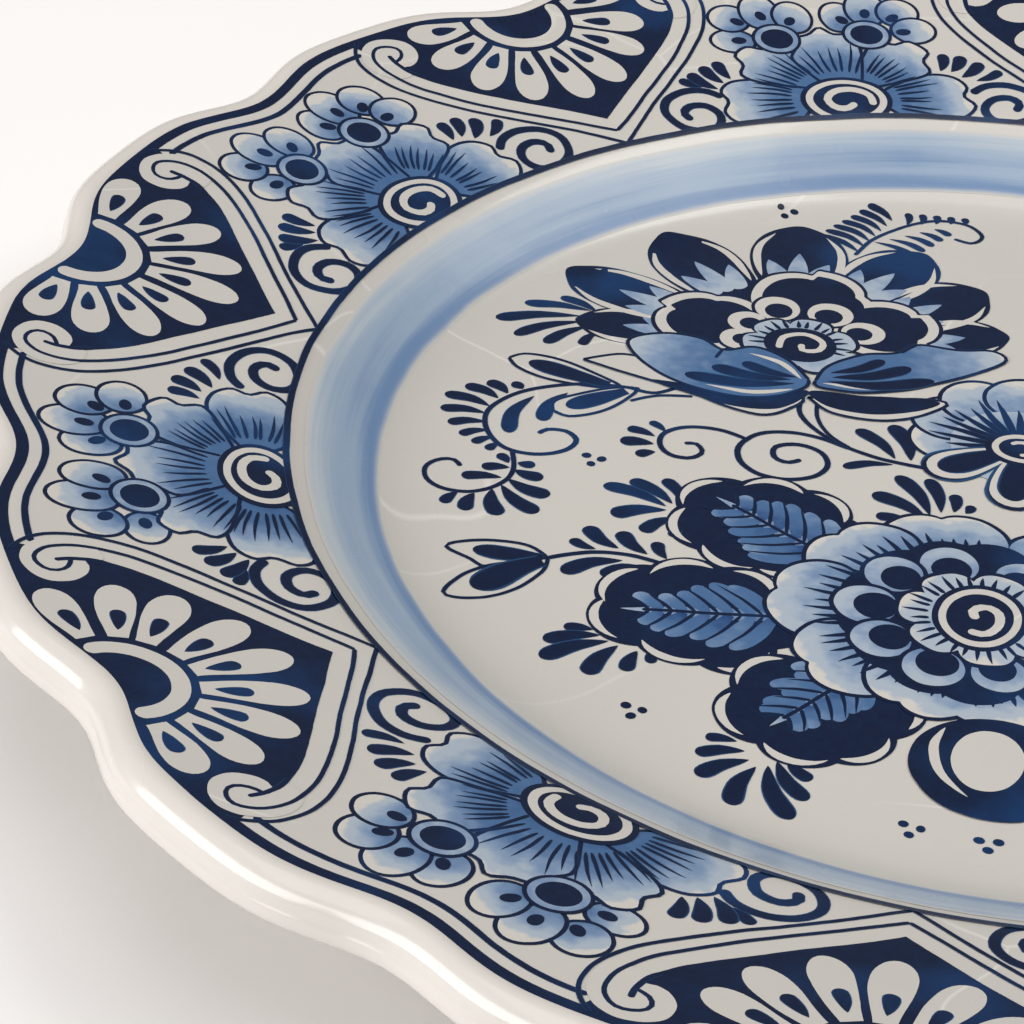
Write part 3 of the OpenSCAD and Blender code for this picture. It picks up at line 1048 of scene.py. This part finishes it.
SPRIG_COMMAS = [(-63.6, -9.6, -61.8, -11.2, 1.4), (-64.8, -13.2, -61.4, -12.2, 1.6),
                (-66.6, -15.9, -61.8, -14.8, 1.7), (-58.4, -10.6, -60.7, -10.8, 1.5),
                (-56.8, -13.2, -60.7, -12.5, 1.9), (-55.2, -16.8, -61, -14.8, 2.1),
                (-55.6, -20.8, -61.4, -16.4, 2.1), (-60, -23, -62.2, -17.6, 2.1),
                (-64.2, -23.4, -64, -19.2, 1.9), (-67.2, -22.6, -66, -19.6, 1.5)]


def frond(brush):
    """A curled stem with commas outside its bend, and a smaller one that hangs from it."""
    brush.stroke(FROND, 0.75, "dark", 1)
    brush.commas(FROND_COMMAS, 1, 0.1)
    brush.comma((-63.4, -4.4), (-62.6, 5.2), 2.3, 0.12, "dark", 1)
    brush.comma((-60, -0.2), (-58.6, 7.4), 2.2, 0.12, "dark", 1)
    brush.stroke(SPRIG, 0.7, "dark", 1)
    brush.commas(SPRIG_COMMAS, 1, 0.08)


print("frond of", len(FROND_COMMAS) + len(SPRIG_COMMAS), "commas")

# %% Scrolls
SCROLL = [(-21.5, 5.8), (-25, 6.9), (-29, 7.1), (-33, 5.5), (-35, 2), (-34.2, -1.5), (-31.5, -3.8),
          (-28, -4), (-24.7, -2), (-23.5, 1), (-24.9, 3.7), (-28, 4.5), (-30.6, 3), (-30.3, 0.7),
          (-28.6, 0), (-27.1, 1.2)]
TENDRIL = [(-34.6, 3.8), (-38, 4.9), (-42, 4.4), (-44.6, 2), (-44.7, -0.9), (-43, -2.9), (-40.5, -2.9),
           (-39.2, -1), (-40.3, 0.7), (-41.8, 0.3)]
LOTUS_STEM = [(-29.6, 16), (-28.8, 12), (-26, 8.5), (-22.5, 6.3), (-17, 4.6), (-9, 4.2)]
TENDRIL_COMMAS = [(-49.4, 1.4, -45.6, 0.6, 1.5), (-49.6, -2.0, -45.4, -1.2, 1.9),
                  (-47, -4.4, -44.8, -2.9, 1.5), (-47, 3.9, -44.6, 2.2, 1.2)]


def scrolls(brush):
    """Two spirals that roll the opposite way, and the stems that they spring from."""
    brush.stroke(SCROLL, 0.8, "dark", 1)
    brush.stroke(TENDRIL, 0.75, "dark", 1)
    brush.commas(TENDRIL_COMMAS, 1, 0.08)
    brush.stroke(LOTUS_STEM, 0.75, "dark", 1)
    brush.stroke([(-27.5, 17), (-26.6, 12), (-24.5, 8.2), (-21.5, 6)], 0.6, "dark", 1)


print("scroll of", len(SCROLL), "points")


# %% Buds
UPPER_BUD = [(-68, 13.4), (-66, 15.1), (-61, 14.9), (-56, 13), (-52.5, 11), (-56, 9.9), (-62, 9.9),
             (-66.2, 11.4)]
LOWER_BUD = [(-59.4, 2.6), (-57, 2), (-53.6, 4.2), (-51.2, 8), (-50.4, 11.2), (-53.4, 10.4),
             (-57.4, 7.4), (-59.8, 4.8)]
HEART_LOBES = [[(-52, -30), (-55, -28.2), (-60, -28.6), (-64.4, -31.2), (-60.8, -33.2), (-59, -34),
                (-55.8, -32)],
               [(-52, -30), (-55.8, -32), (-59, -34), (-61.2, -37), (-62, -41.4), (-57.6, -40.4),
                (-54, -37), (-52, -33)]]
HEART_STEM = [(-52, -30), (-49.8, -28.4), (-47, -27), (-43, -26.4), (-38.5, -27)]
OVER_STEM = [(-50.4, -25.2, -47.2, -26.4, 1.4), (-49.2, -21.9, -44.6, -25.4, 2.1),
             (-45, -21.7, -41, -25.6, 2.0), (-40.4, -22.6, -38.6, -25.8, 1.6)]
UNDER_STEM = [(-49.8, -32.4, -43.6, -27.8, 2.2), (-45.2, -31.6, -41, -28.2, 1.9),
              (-41.2, -30.8, -39, -28.4, 1.4)]


def outlined_bud(brush, outline, root, tip, width):
    """A dark bud inside a thin outline."""
    brush.fill(outline, "white", 1)
    brush.contour(outline, 2)
    brush.stroke([root, tip], width, "dark", 3, petal_share)


def buds(brush):
    """Two slim buds on short stems."""
    outlined_bud(brush, UPPER_BUD, (-54, 10.9), (-65.2, 13.2), 3.2)
    outlined_bud(brush, LOWER_BUD, (-51.5, 10.2), (-58, 4), 3.2)
    brush.stroke([(-52, 11.2), (-48, 11), (-45, 13.6)], 0.7, "dark", 1)
    brush.stroke([(-50.5, 8), (-47.6, 10.4), (-43, 11.6)], 0.6, "dark", 1)


def heart_bud(brush):
    """A bud of two lobes on a thin stem, with commas along the stem."""
    for outline in HEART_LOBES:
        brush.contour(outline, 1)
    brush.stroke([(-52.6, -30.2), (-61.2, -31)], 3.0, "dark", 1, petal_share)
    brush.stroke([(-52.6, -30.8), (-56, -34.2), (-59.2, -38.8)], 4.6, "dark", 1, petal_share)
    brush.stroke(HEART_STEM, 0.75, "dark", 1)
    brush.commas(OVER_STEM, 1, -0.1)
    brush.commas(UNDER_STEM, 1, 0.12)


print("buds ready")

# %% [markdown]
# ### Fans, fern and dots
# The ground between the flowers is filled with fans of commas, a fern and groups of three dots. A fan
# is a list of commas, each given as head, tail and width, because no rule gives the uneven spread of a
# quick hand.

# %% Comma fans
FAN_ONE = [(-49.4, -12.3, -41, -14.6, 2.1), (-46.4, -10.2, -40.4, -13.8, 2.0),
           (-42.4, -8.6, -39.4, -13, 1.7), (-47, -18.5, -40.8, -15.4, 2.3),
           (-42.6, -21, -39.4, -16.6, 1.9), (-38.9, -21, -38, -18.6, 1.4)]
FAN_TWO = [(-47, -43.2, -43.6, -42.6, 1.5), (-48.6, -46.4, -42.6, -43.4, 2.0),
           (-48.2, -49.8, -41.4, -44.2, 2.3), (-42.4, -51.4, -40.2, -44.8, 2.3),
           (-38.2, -49.4, -37.8, -45.2, 1.8), (-35.6, -47, -36.2, -44.6, 1.3)]
FAN_THREE = [(-27.2, -58.6, -23.6, -58.2, 1.4), (-27.6, -61.8, -22.4, -59.6, 1.8),
             (-26.6, -65.8, -21.6, -61, 2.1), (-22.2, -69.8, -20.6, -62, 2.3),
             (-15.3, -70.2, -19.4, -61.4, 2.4), (-14.2, -66.2, -18.6, -60.4, 2.0),
             (-14.4, -62.6, -17.6, -59.8, 1.6), (-14.6, -59.4, -16.4, -58.6, 1.2)]
FAN_FOUR = [(-14.8, 1.4, -9.4, -6.2, 2.1), (-11, 2.0, -8.2, -5.2, 1.8), (-17, -3.6, -9.6, -7.2, 2.2),
            (-7.2, -0.6, -6.7, -4.6, 1.5), (-4.8, -2.4, -5.3, -4.4, 1.2), (-15.8, -8.4, -11, -8.6, 1.7)]
FAN_FIVE = [(-21.4, 10.7, -15.6, 5.2, 1.9), (-17.2, 13.2, -13.6, 5.4, 2.3),
            (-13.2, 11.4, -11.2, 5.4, 1.9), (-9.6, 8.4, -9, 5.6, 1.4), (-21.6, 1.4, -15.6, 3.8, 1.5)]
FAN_SIX = [(-69.4, 27.6, -60.4, 28.8, 1.6), (-65.2, 31, -59.6, 28.8, 1.5), (-72, 22.4, -61.4, 27, 1.8),
           (-68.8, 19.4, -61, 25.6, 1.8), (-64.4, 18.6, -60, 24.6, 1.7), (-59.8, 19.6, -58.4, 23.6, 1.4)]
FANS = (FAN_ONE, FAN_TWO, FAN_THREE, FAN_FOUR, FAN_FIVE, FAN_SIX)


def fans(brush):
    """All the comma fans of one half."""
    for rows in FANS:
        brush.commas(rows, 1, 0.08)


print("fans of", [len(rows) for rows in FANS], "commas")


# %% Fern and dots
FERN_STEM = [(-29, 56), (-27.4, 61), (-24, 66), (-19.6, 69.4), (-15, 69.8), (-12.6, 67.2), (-13.8, 64.8),
             (-16.4, 65.2)]
DOT_GROUPS = [(-51.8, -7), (-35.8, -56.2), (-2.6, -67.6), (-40, 64.4)]


def fern(brush):
    """A sprig above the lotus, with leaves on one side and a curled end."""
    brush.stroke(FERN_STEM, 0.65, "dark", 1)
    for i in range(7):
        root = (-28.6 + 0.5 * i, 57 + 1.75 * i)
        brush.comma((root[0] - 6.4 + 0.4 * i, root[1] + 2.9), root, 1.5, 0.12, "dark", 1)
    for i in range(5):
        root = (-27 + 1.9 * i, 60.6 + 1.6 * i)
        brush.comma((root[0] + 6.4 - 1.0 * i, root[1] - 2.4 + 0.3 * i), root, 1.3, -0.1, "dark", 1)
    for i in range(5):
        root = (-23.4 + 2.0 * i, 67.0 + 0.75 * i)
        brush.comma((root[0] - 0.4, root[1] + 3.2 - 0.4 * i), root, 1.2, 0.1, "dark", 1)


def three_dots(brush):
    """The small groups of dots in the open ground."""
    for x, y in DOT_GROUPS:
        brush.dots([(x - 1.1, y + 0.6), (x + 0.9, y + 0.3), (x - 0.2, y - 1.1)], 0.6, 1)


print("fern and dots ready")

# %% [markdown]
# ### Lotus
# The upper flower is a lotus seen from its side: seven dark outer petals with white crescents, three
# lobed inner ones with white edges, a pale ring round the eye, and two broad sepals below. It is built
# as it overlaps, from the back to the front, and every petal is one higher level of paint than the one
# behind it.

# %% Points beside a line
def along(base, tip, share):
    """A point part of the way from base to tip."""
    return (base[0] + (tip[0] - base[0]) * share, base[1] + (tip[1] - base[1]) * share)


def beside(base, tip, share, out):
    """A point along a line and off to its left."""
    x, y = along(base, tip, share)
    length = math.dist(base, tip)
    return (x - (tip[1] - base[1]) / length * out, y + (tip[0] - base[0]) / length * out)


def pointed_petal(base, tip, width):
    """The outline of a broad petal with a small pointed tip."""
    half = width / 2
    shape = [(0.0, 0.3), (0.25, 0.78), (0.5, 1.0), (0.7, 0.97), (0.85, 0.76), (0.95, 0.38)]
    left = [beside(base, tip, t, h * half) for t, h in shape]
    right = [beside(base, tip, t, -h * half) for t, h in reversed(shape)]
    return left + [tip] + right


print("petal outline of", len(pointed_petal((0, 0), (0, 10), 4)), "points")

# %% Lotus petals
LOTUS_EYE = (-32, 29)
OUTER_PETALS = [((-44, 27), (-62, 26), 9), ((-44, 31), (-66, 38), 10.5), ((-40, 36), (-55.5, 52.5), 12.5),
                ((-34.5, 40), (-37.5, 61.5), 13.5), ((-29, 40), (-19.5, 59.5), 12.5),
                ((-25, 36), (-10, 51.5), 12), ((-21, 34), (-5.5, 40.5), 9.5)]
INNER_PETALS = [((-37, 30), (-50.5, 33), 13), ((-30.5, 33), (-33.5, 47.5), 15),
                ((-26, 31), (-18.5, 41.5), 12.5)]
LOTUS_RINGS = [(-39.8, 32.8, 1.9), (-40, 28, 1.8), (-36.6, 37.6, 2.3), (-29.4, 38.2, 2.3),
               (-24.4, 34.6, 2.1)]
LOTUS_SPIRAL = [(-34.6, 27.2), (-34.4, 30.4), (-31.8, 32), (-29.2, 30.4), (-29.4, 28.2), (-31.4, 27.6),
                (-31.8, 29.2)]
CRESCENT = ((0.3, 0.36), (0.52, 0.43), (0.72, 0.41), (0.88, 0.26))


def lotus_back(brush):
    """Outer petals: dark, with a white crescent along each side and three pale spikes at the foot."""
    for i, (base, tip, width) in enumerate(OUTER_PETALS):
        level = 1 + 0.3 * (3 - abs(i - 3))
        brush.fill(pointed_petal(base, tip, width), "dark", level)
        for flip in (1, -1):
            rim = [beside(base, tip, t, flip * h * width) for t, h in CRESCENT]
            brush.stroke(rim, 1.15, "white", level + 0.5, leaf_share)
        for out in (-0.24, 0.0, 0.24):
            root = beside(base, tip, 0.24, out * width * 0.5)
            spike = beside(base, tip, 0.64 - 0.5 * abs(out), 1.3 * out * width)
            brush.comma(root, spike, 3.0, 0.0, "wash", level + 0.8, (0.1, 0.3))


def lotus_front(brush):
    """Inner petals with white edges, five white rings, and the eye in its pale collar."""
    for i, (base, tip, width) in enumerate(INNER_PETALS):
        middle = along(base, tip, 0.55)
        turn = math.degrees(math.atan2(tip[1] - base[1], tip[0] - base[0]))
        length = math.dist(base, tip)
        for extra, paint, level in ((1.7, "dark", 3.6), (1.1, "white", 4.2), (-0.4, "dark", 4.8)):
            outline = lobed(middle, 0.5 * length + extra, 0.5 * width + extra, turn, 5, 0.16)
            brush.fill(outline, paint, level + 0.12 * i)
    for x, y, r in LOTUS_RINGS:
        brush.fill(oval((x, y), r + 1.3, r + 1.3), "dark", 5.4)
        brush.fill(oval((x, y), r + 0.8, r + 0.8), "white", 5.8)
        brush.fill(oval(along((x, y), LOTUS_EYE, 0.06), r - 0.4, r - 0.4), "dark", 6.2)
    brush.fill(lobed(LOTUS_EYE, 8.2, 7.5, 0, 13, 0.2), "dark", 6.6)
    brush.fill(lobed(LOTUS_EYE, 7.6, 6.9, 0, 13, 0.2), "wash", 7.0, (0.45, 0.05), LOTUS_EYE)
    brush.rays(LOTUS_EYE, 4.6, 7.2, -10, 190, 15, 0.6, "dark", 7.5)
    brush.fill(oval(LOTUS_EYE, 4.9, 4.5), "dark", 7.9)
    brush.stroke(LOTUS_SPIRAL, 0.95, "white", 8.3)


print("lotus of", len(OUTER_PETALS), "outer and", len(INNER_PETALS), "inner petals")

# %% Sepals of the lotus
LEFT_SEPAL = [(-29.5, 20.6), (-33, 24.6), (-37.6, 26.4), (-41.4, 24.4), (-45, 26.4), (-50, 26),
              (-54, 22.6), (-51, 18), (-45, 14.4), (-38, 13.3), (-33, 15), (-29.6, 18.6)]
RIGHT_SEPAL = [(-28.6, 20.6), (-27.6, 24.6), (-23.6, 29), (-19.4, 31), (-17, 34), (-11.4, 34.4),
               (-7, 35.6), (-5, 33.6), (-8, 29.8), (-12.4, 25.6), (-17, 22), (-22.6, 19.6), (-28, 19.2)]
LOWER_SEPALS = [[(-58.6, 16), (-54, 19), (-49, 18), (-42, 12), (-34, 10), (-30, 13.4), (-29.4, 16),
                 (-34, 14), (-42, 13), (-50, 14)],
                [(-28.8, 16.4), (-25, 13.6), (-19, 13.6), (-14, 16.4), (-11, 20.4), (-15, 20.4),
                 (-24, 17)]]
SHADOWS = [[(-49, 14), (-43, 11.9), (-37, 10.9), (-32, 12.2), (-29.4, 15.6), (-29.2, 18), (-34, 16),
            (-42, 14.6)],
           [(-28.8, 18), (-26, 15), (-20, 14.8), (-14, 17.8), (-12, 20.4), (-16, 20.2), (-22, 19)]]
SEPAL_COMMAS = [((-45, 16.8), (-31, 19), 2.6, -0.08), ((-42, 19.8), (-31.6, 19.8), 2.5, -0.08),
                ((-38.4, 22), (-31, 20.6), 2.1, -0.08), ((-13.6, 25.4), (-27, 20.8), 2.6, 0.08),
                ((-17, 27.8), (-26.6, 22), 2.5, 0.08), ((-20.6, 28.6), (-27, 23), 2.0, 0.08)]


def sepals(brush):
    """Two broad sepals under the lotus, mid blue with dark commas, and dark crescents below."""
    for outline in LOWER_SEPALS:
        brush.fill(outline, "white", 6)
        brush.contour(outline, 6.2)
    for shade in SHADOWS:
        brush.fill(shade, "dark", 6.4)
    for outline, root in ((LEFT_SEPAL, (-29.5, 20)), (RIGHT_SEPAL, (-28.5, 20))):
        brush.fill(outline, "wash", 8.4, (0.66, -0.06), root, hold=3.0)
        brush.contour(outline, 9.0)
    brush.stroke([(-30.4, 20.4), (-33.6, 23.4), (-38, 24.6)], 0.9, "white", 9.2, leaf_share)
    brush.stroke([(-31, 17.6), (-36, 15), (-42, 15)], 0.9, "white", 9.2, leaf_share)
    brush.stroke([(-27.6, 20.2), (-21, 21.2), (-14, 25)], 0.9, "white", 9.2, leaf_share)
    brush.stroke([(-41.6, 24.4), (-42, 22)], FINE_LINE, "dark", 9.4)
    brush.stroke([(-17, 34.2), (-18.8, 31.2)], FINE_LINE, "dark", 9.4)
    for head, tail, width, bow in SEPAL_COMMAS:
        brush.comma(head, tail, width, bow, "dark", 9.6)


print("sepals outlined by", len(LEFT_SEPAL), "and", len(RIGHT_SEPAL), "points")

# %% [markdown]
# ### Leaves
# A dark leaf has an edge of round lobes, each with a white crescent inside its rim, and a pale feather
# for its veins. The lobes are overlapping discs, which is simpler than one outline and gives the same
# scallops.


# %% Leaves
def scalloped(brush, discs, level):
    """A dark leaf built from round lobes. A white crescent follows the rim of each lobe."""
    cx = sum(d[0] for d in discs) / len(discs)
    cy = sum(d[1] for d in discs) / len(discs)
    for x, y, r in discs:
        brush.fill(oval((x, y), r + 1.4, r + 1.4), "dark", level)
    for x, y, r in discs[:-1]:
        out = math.degrees(math.atan2(y - cy, x - cx))
        brush.arc((x, y), r + 0.5, out - 52, out + 52, 1.15, "white", level + 0.5, leaf_share)


def feather(brush, root, tip, width, level):
    """A feather of pale blunt strokes along a midrib, as veins in a dark leaf."""
    brush.stroke([root, along(root, tip, 0.5), tip], 2.3, "wash", level, comma_share, (0.45, 0.2))
    count = 6
    for i in range(count):
        t = 0.02 + 0.72 * i / (count - 1)
        for flip in (1, -1):
            reach = width * (0.58 - 0.44 * t) * hand.uniform(0.8, 1.16)
            lean = hand.uniform(0.75, 1.0) * reach / math.dist(root, tip)
            base = beside(root, tip, t, flip * 0.2)
            bend = beside(root, tip, t + 0.42 * lean, flip * 0.55 * reach)
            end = beside(root, tip, t + lean, flip * reach)
            tones = (hand.uniform(0.6, 0.95), hand.uniform(0.3, 0.6))
            brush.stroke([base, bend, end], 2.5 - 0.5 * t, "wash", level + 0.3, petal_share, tones)
            start = beside(root, tip, t + 0.07, 0.0)
            turn = beside(root, tip, t + 0.08 + 0.42 * lean, flip * 0.55 * reach)
            stop = beside(root, tip, t + 0.08 + lean, flip * 1.02 * reach)
            brush.stroke([start, turn, stop], FINE_LINE, "dark", level + 0.9, comma_share)
    brush.stroke([along(root, tip, -0.1), along(root, tip, 0.86)], 0.6, "dark", level + 1.2)


print("leaf strokes ready")

# %% Where the leaves lie
LEAF_ONE = [(-34.6, -11.6, 4.4), (-28.8, -9.6, 4.2), (-23.6, -10.4, 3.8), (-34.6, -17, 4.4),
            (-30.6, -20.4, 4.0), (-25.6, -20, 4.2), (-21, -15.6, 4.6), (-28, -15, 6)]
LEAF_TWO = [(-39.4, -33.6, 4.6), (-39.4, -38.6, 4.4), (-33.4, -40.6, 4.4), (-27.6, -41, 4.0),
            (-35, -30.4, 4.4), (-29, -30, 4.0), (-25, -34, 5), (-31, -35.6, 6.4)]
LEAF_THREE = [(-21, -46.4, 4.4), (-21.8, -52.2, 4.4), (-16.6, -55.2, 4.2), (-11.8, -53.4, 4.0),
              (-9.6, -47.6, 4.4), (-14.6, -44, 4.4), (-15.6, -49.6, 5.6)]


def leaves(brush, third=True):
    """Three leaves by the rose, the third partly over the second."""
    scalloped(brush, LEAF_ONE, 1)
    feather(brush, (-19.6, -19.2), (-35.5, -10.6), 11, 3.2)
    scalloped(brush, LEAF_TWO, 1.7)
    feather(brush, (-23.6, -33.4), (-41.5, -37.4), 11.5, 3.2)
    if third:
        scalloped(brush, LEAF_THREE, 2.4)
        feather(brush, (-12.4, -41.6), (-20.6, -54.4), 10.5, 3.2)


print("leaves of", len(LEAF_ONE), len(LEAF_TWO), len(LEAF_THREE), "discs")

# %% [markdown]
# ### Middle flower and rose
# Both are seen from in front. The rose is built from its edge to its eye: a skirt of pale petals, a
# dark ground of discs, petals with pale rings, a collar with fine rays, and a white spiral in the eye.


# %% Small middle flower
LOBE_COATS = ((7.4, 0.0, "dark", 6), (6.2, 0.05, "white", 6.5), (4.4, 0.14, "dark", 7))


def middle_flower(brush):
    """A half-open flower seen from its side."""
    centre = (-0.5, 12.6)
    petals = ((184, 9.4, 4.6), (154, 10.6, 4.8), (124, 11.6, 5.0), (94, 12, 5.0), (62, 11.6, 5.0),
              (30, 10.6, 4.8), (0, 9.4, 4.6))
    for i, (a, r, size) in enumerate(petals):
        spot = polar(r, a, centre)
        brush.fill(oval(spot, size + 0.6, size + 0.6), "dark", 2 + 0.25 * i)
        brush.fill(oval(spot, size, size), "wash", 2.12 + 0.25 * i, (0.4, -0.16), centre, hold=2.0)
    brush.fill(oval(centre, 9, 9), "wash", 4.4, (0.5, 0.14), centre)
    brush.rays(centre, 3.4, 12.5, -20, 200, 21, 1.1, "dark", 5)
    for x, y, turn in ((-6.4, 7, 215), (0, 4.4, 270), (6.2, 6.6, 325)):
        tip = polar(6.4, turn, (x, y))
        for width, reach, paint, level in LOBE_COATS:
            lobe = [along(tip, centre, 0.85), along(tip, centre, reach)]
            brush.stroke(lobe, width, paint, level, petal_share)
    brush.fill(oval(centre, 4.6, 4.2), "dark", 7.8)
    brush.fill(oval(centre, 3.7, 3.3), "white", 8.2)
    brush.fill(oval(centre, 2.8, 2.4), "dark", 8.8)
    brush.arc(centre, 1.5, -90, 150, 0.7, "white", 9.4)


print("middle flower ready")

# %% Rose
ROSE = (-1, -27)
ROSE_EYE = (-0.6, -26.4)
ROSE_SPIRAL = [(-1.6, -29.4), (0.4, -29.6), (1.7, -27.6), (1.4, -25), (-0.2, -24), (-1.6, -25.2),
               (-1, -26.8)]
SKIRT = [(112, 21.4, 16), (58, 21.4, 16), (148, 22.6, 15.5), (22, 22.6, 15.5), (184, 23.6, 16),
         (350, 23.6, 16), (222, 22.6, 15), (314, 22.6, 15), (254, 19.6, 14), (288, 19.6, 14)]
ROSE_RINGS = [(-5.6, -16.4, 3.6), (-11.8, -20.4, 3.6), (-14, -27.6, 3.8), (-11.2, -34, 3.6),
              (-4.6, -37.8, 3.6), (3, -36.8, 3.4), (3.4, -16.8, 3.4)]


def rose(brush):
    """A full flower: an eye, a pale collar, dark petals with pale rings, and a skirt of pale petals."""
    for i, (a, reach, width) in enumerate(SKIRT):
        spot = polar(reach - 5.6, a, ROSE)
        level = 4.0 + 0.55 * (i // 2)
        brush.fill(lobed(spot, 7.6, width / 2 + 0.6, a, 6, 0.2, 30), "dark", level)
        petal = lobed(spot, 7.0, width / 2, a, 6, 0.2, 30)
        brush.fill(petal, "wash", level + 0.27, (0.42, -0.16), ROSE, hold=3.0)
    for i, (a, reach, width) in enumerate(SKIRT):
        if 90 < a < 300:
            brush.rays(ROSE, 14, reach - 2.6, a - 15, a + 15, 7, 0.85, "dark", 7.2)
        else:
            brush.rays(ROSE, 12, reach - 2, a - 12, a + 12, 3, 3.0, "dark", 7.2)
    for i in range(8):
        spot = polar(11.2, 88 + 27 * i, ROSE)
        brush.fill(oval(spot, 5.4, 5.4), "dark", 7.7 + 0.03 * i)
    for i, (x, y, r) in enumerate(ROSE_RINGS):
        brush.fill(oval((x, y), r + 0.6, r + 0.6), "dark", 8.3 + 0.15 * i)
        brush.fill(oval((x, y), r, r), "wash", 8.36 + 0.15 * i, (0.45, 0.12), ROSE)
        brush.fill(oval(along((x, y), ROSE, 0.09), r - 1.1, r - 1.1), "dark", 9.5)
    brush.fill(lobed(ROSE_EYE, 10.3, 10, 0, 14, 0.2), "dark", 9.9)
    brush.fill(lobed(ROSE_EYE, 9.6, 9.3, 0, 14, 0.2), "wash", 10.4, (0.5, -0.05), ROSE_EYE)
    brush.rays(ROSE_EYE, 6, 9.4, 60, 320, 24, 0.62, "dark", 11)
    brush.fill(oval(ROSE_EYE, 5.6, 6.8), "dark", 11.6)
    brush.fill(oval(ROSE_EYE, 4.8, 6.0), "white", 12.4)
    brush.fill(oval(ROSE_EYE, 3.9, 4.9), "dark", 13.2)
    brush.stroke(ROSE_SPIRAL, 1.15, "white", 14)


print("rose with a skirt of", len(SKIRT), "petals")


# %% Vase
def vase(brush):
    """The round mouth that the stems come from."""
    brush.fill(oval((4.5, -54.7), 9.4, 9.1), "dark", 8)
    brush.fill(oval((3.8, -53.4), 4.1, 5.5), "white", 8.8)
    brush.stroke([(-1.6, -48.8), (-2.4, -52.6), (-1, -57.2), (2.6, -60.4)], 1.2, "white", 8.8, leaf_share)


print("vase ready")

# %% [markdown]
# ### The bouquet laid out
# The left half is drawn once as it is and once turned over about a line just right of the middle. The
# brush turns every face upwards as it keeps it, so a turned-over motif doesn't come out upside down.


# %% Bouquet laid out
def left_half(brush, third=True):
    """Every motif that comes on both sides."""
    fans(brush)
    frond(brush)
    scrolls(brush)
    buds(brush)
    heart_bud(brush)
    fern(brush)
    three_dots(brush)
    leaves(brush, third)
    lotus_back(brush)
    lotus_front(brush)
    sepals(brush)


left_half(bunch)
bunch.place = lambda p: (3.0 - p[0], p[1])
left_half(bunch, third=False)
bunch.place = lambda p: p
middle_flower(bunch)
rose(bunch)
vase(bunch)
lay_all("bouquet", bunch, "bouquet", wobble=0.7)

# %% [markdown]
# ## Floor, light and camera
# The plate lies on a pale table in soft light from a large window behind it on the right. Glossy dark
# paint shows whatever it mirrors, so no light stands where the flat of the plate mirrors it to the
# camera. A second light above opens the shadows, and a third, low on the left, stands for a pale wall
# that throws light back.

# %% Studio
bpy.ops.mesh.primitive_plane_add(size=6.0, location=(0, 0, 0))
floor = bpy.context.object
floor.name = "floor"
floor_paint, bench, shader, place = new_material("pale_table")
shade = bench.mix(bench.noise(3.0, 2.0, place), (0.85, 0.83, 0.82, 1), (0.89, 0.87, 0.86, 1))
bench.feed(shader.inputs["Base Color"], shade)
shader.inputs["Roughness"].default_value = 0.7
floor.data.materials.append(floor_paint)
print("table", tuple(round(side, 1) for side in floor.dimensions))


# %% Lights
def add_window(name, place, size, power, colour):
    """A large soft light that faces the plate."""
    light = bpy.data.lights.new(name, "AREA")
    light.shape, light.size, light.size_y = "RECTANGLE", size[0], size[1]
    light.energy, light.color = power, colour
    lamp = bpy.data.objects.new(name, light)
    lamp.location = place
    lamp.rotation_euler = (Vector((0, 0, 0)) - Vector(place)).to_track_quat("-Z", "Y").to_euler()
    bpy.context.collection.objects.link(lamp)


add_window("window", (1.0, 0.7, 1.5), (1.3, 1.3), 17.5, (1.0, 0.985, 0.96))
add_window("ceiling", (0.1, 0.0, 1.6), (2.0, 2.0), 14.0, (1.0, 0.985, 0.975))
add_window("bounce", (-1.3, -0.9, 0.7), (1.8, 1.0), 29.0, (1.0, 0.98, 0.965))
world = bpy.data.worlds.new("room")
bpy.context.scene.world = world
world.use_nodes = True
world.node_tree.nodes["Background"].inputs[0].default_value = (1.0, 0.985, 0.975, 1)
world.node_tree.nodes["Background"].inputs[1].default_value = 0.14
bpy.context.scene.view_settings.view_transform = "Standard"

# %% [markdown]
# ## Camera
# A long lens from about 40 cm away, looking down over the near edge, as one would look at the painting
# closely. It looks off the middle of the plate, so that the right and the near side run out of the
# frame.

# %% Camera
CAMERA_PLACE = (0.01335, -0.35036, 0.23221)
CAMERA_TURN = (56.298, -2.800, 14.225)
CAMERA_LENS = 116.6
camera_data = bpy.data.cameras.new("camera")
camera_data.lens, camera_data.sensor_width = CAMERA_LENS, 36.0
camera_data.clip_start, camera_data.clip_end = 0.01, 20.0
camera = bpy.data.objects.new("camera", camera_data)
camera.location = CAMERA_PLACE
camera.rotation_euler = [math.radians(a) for a in CAMERA_TURN]
bpy.context.collection.objects.link(camera)
bpy.context.scene.camera = camera

print("camera", CAMERA_PLACE, "lens", CAMERA_LENS)
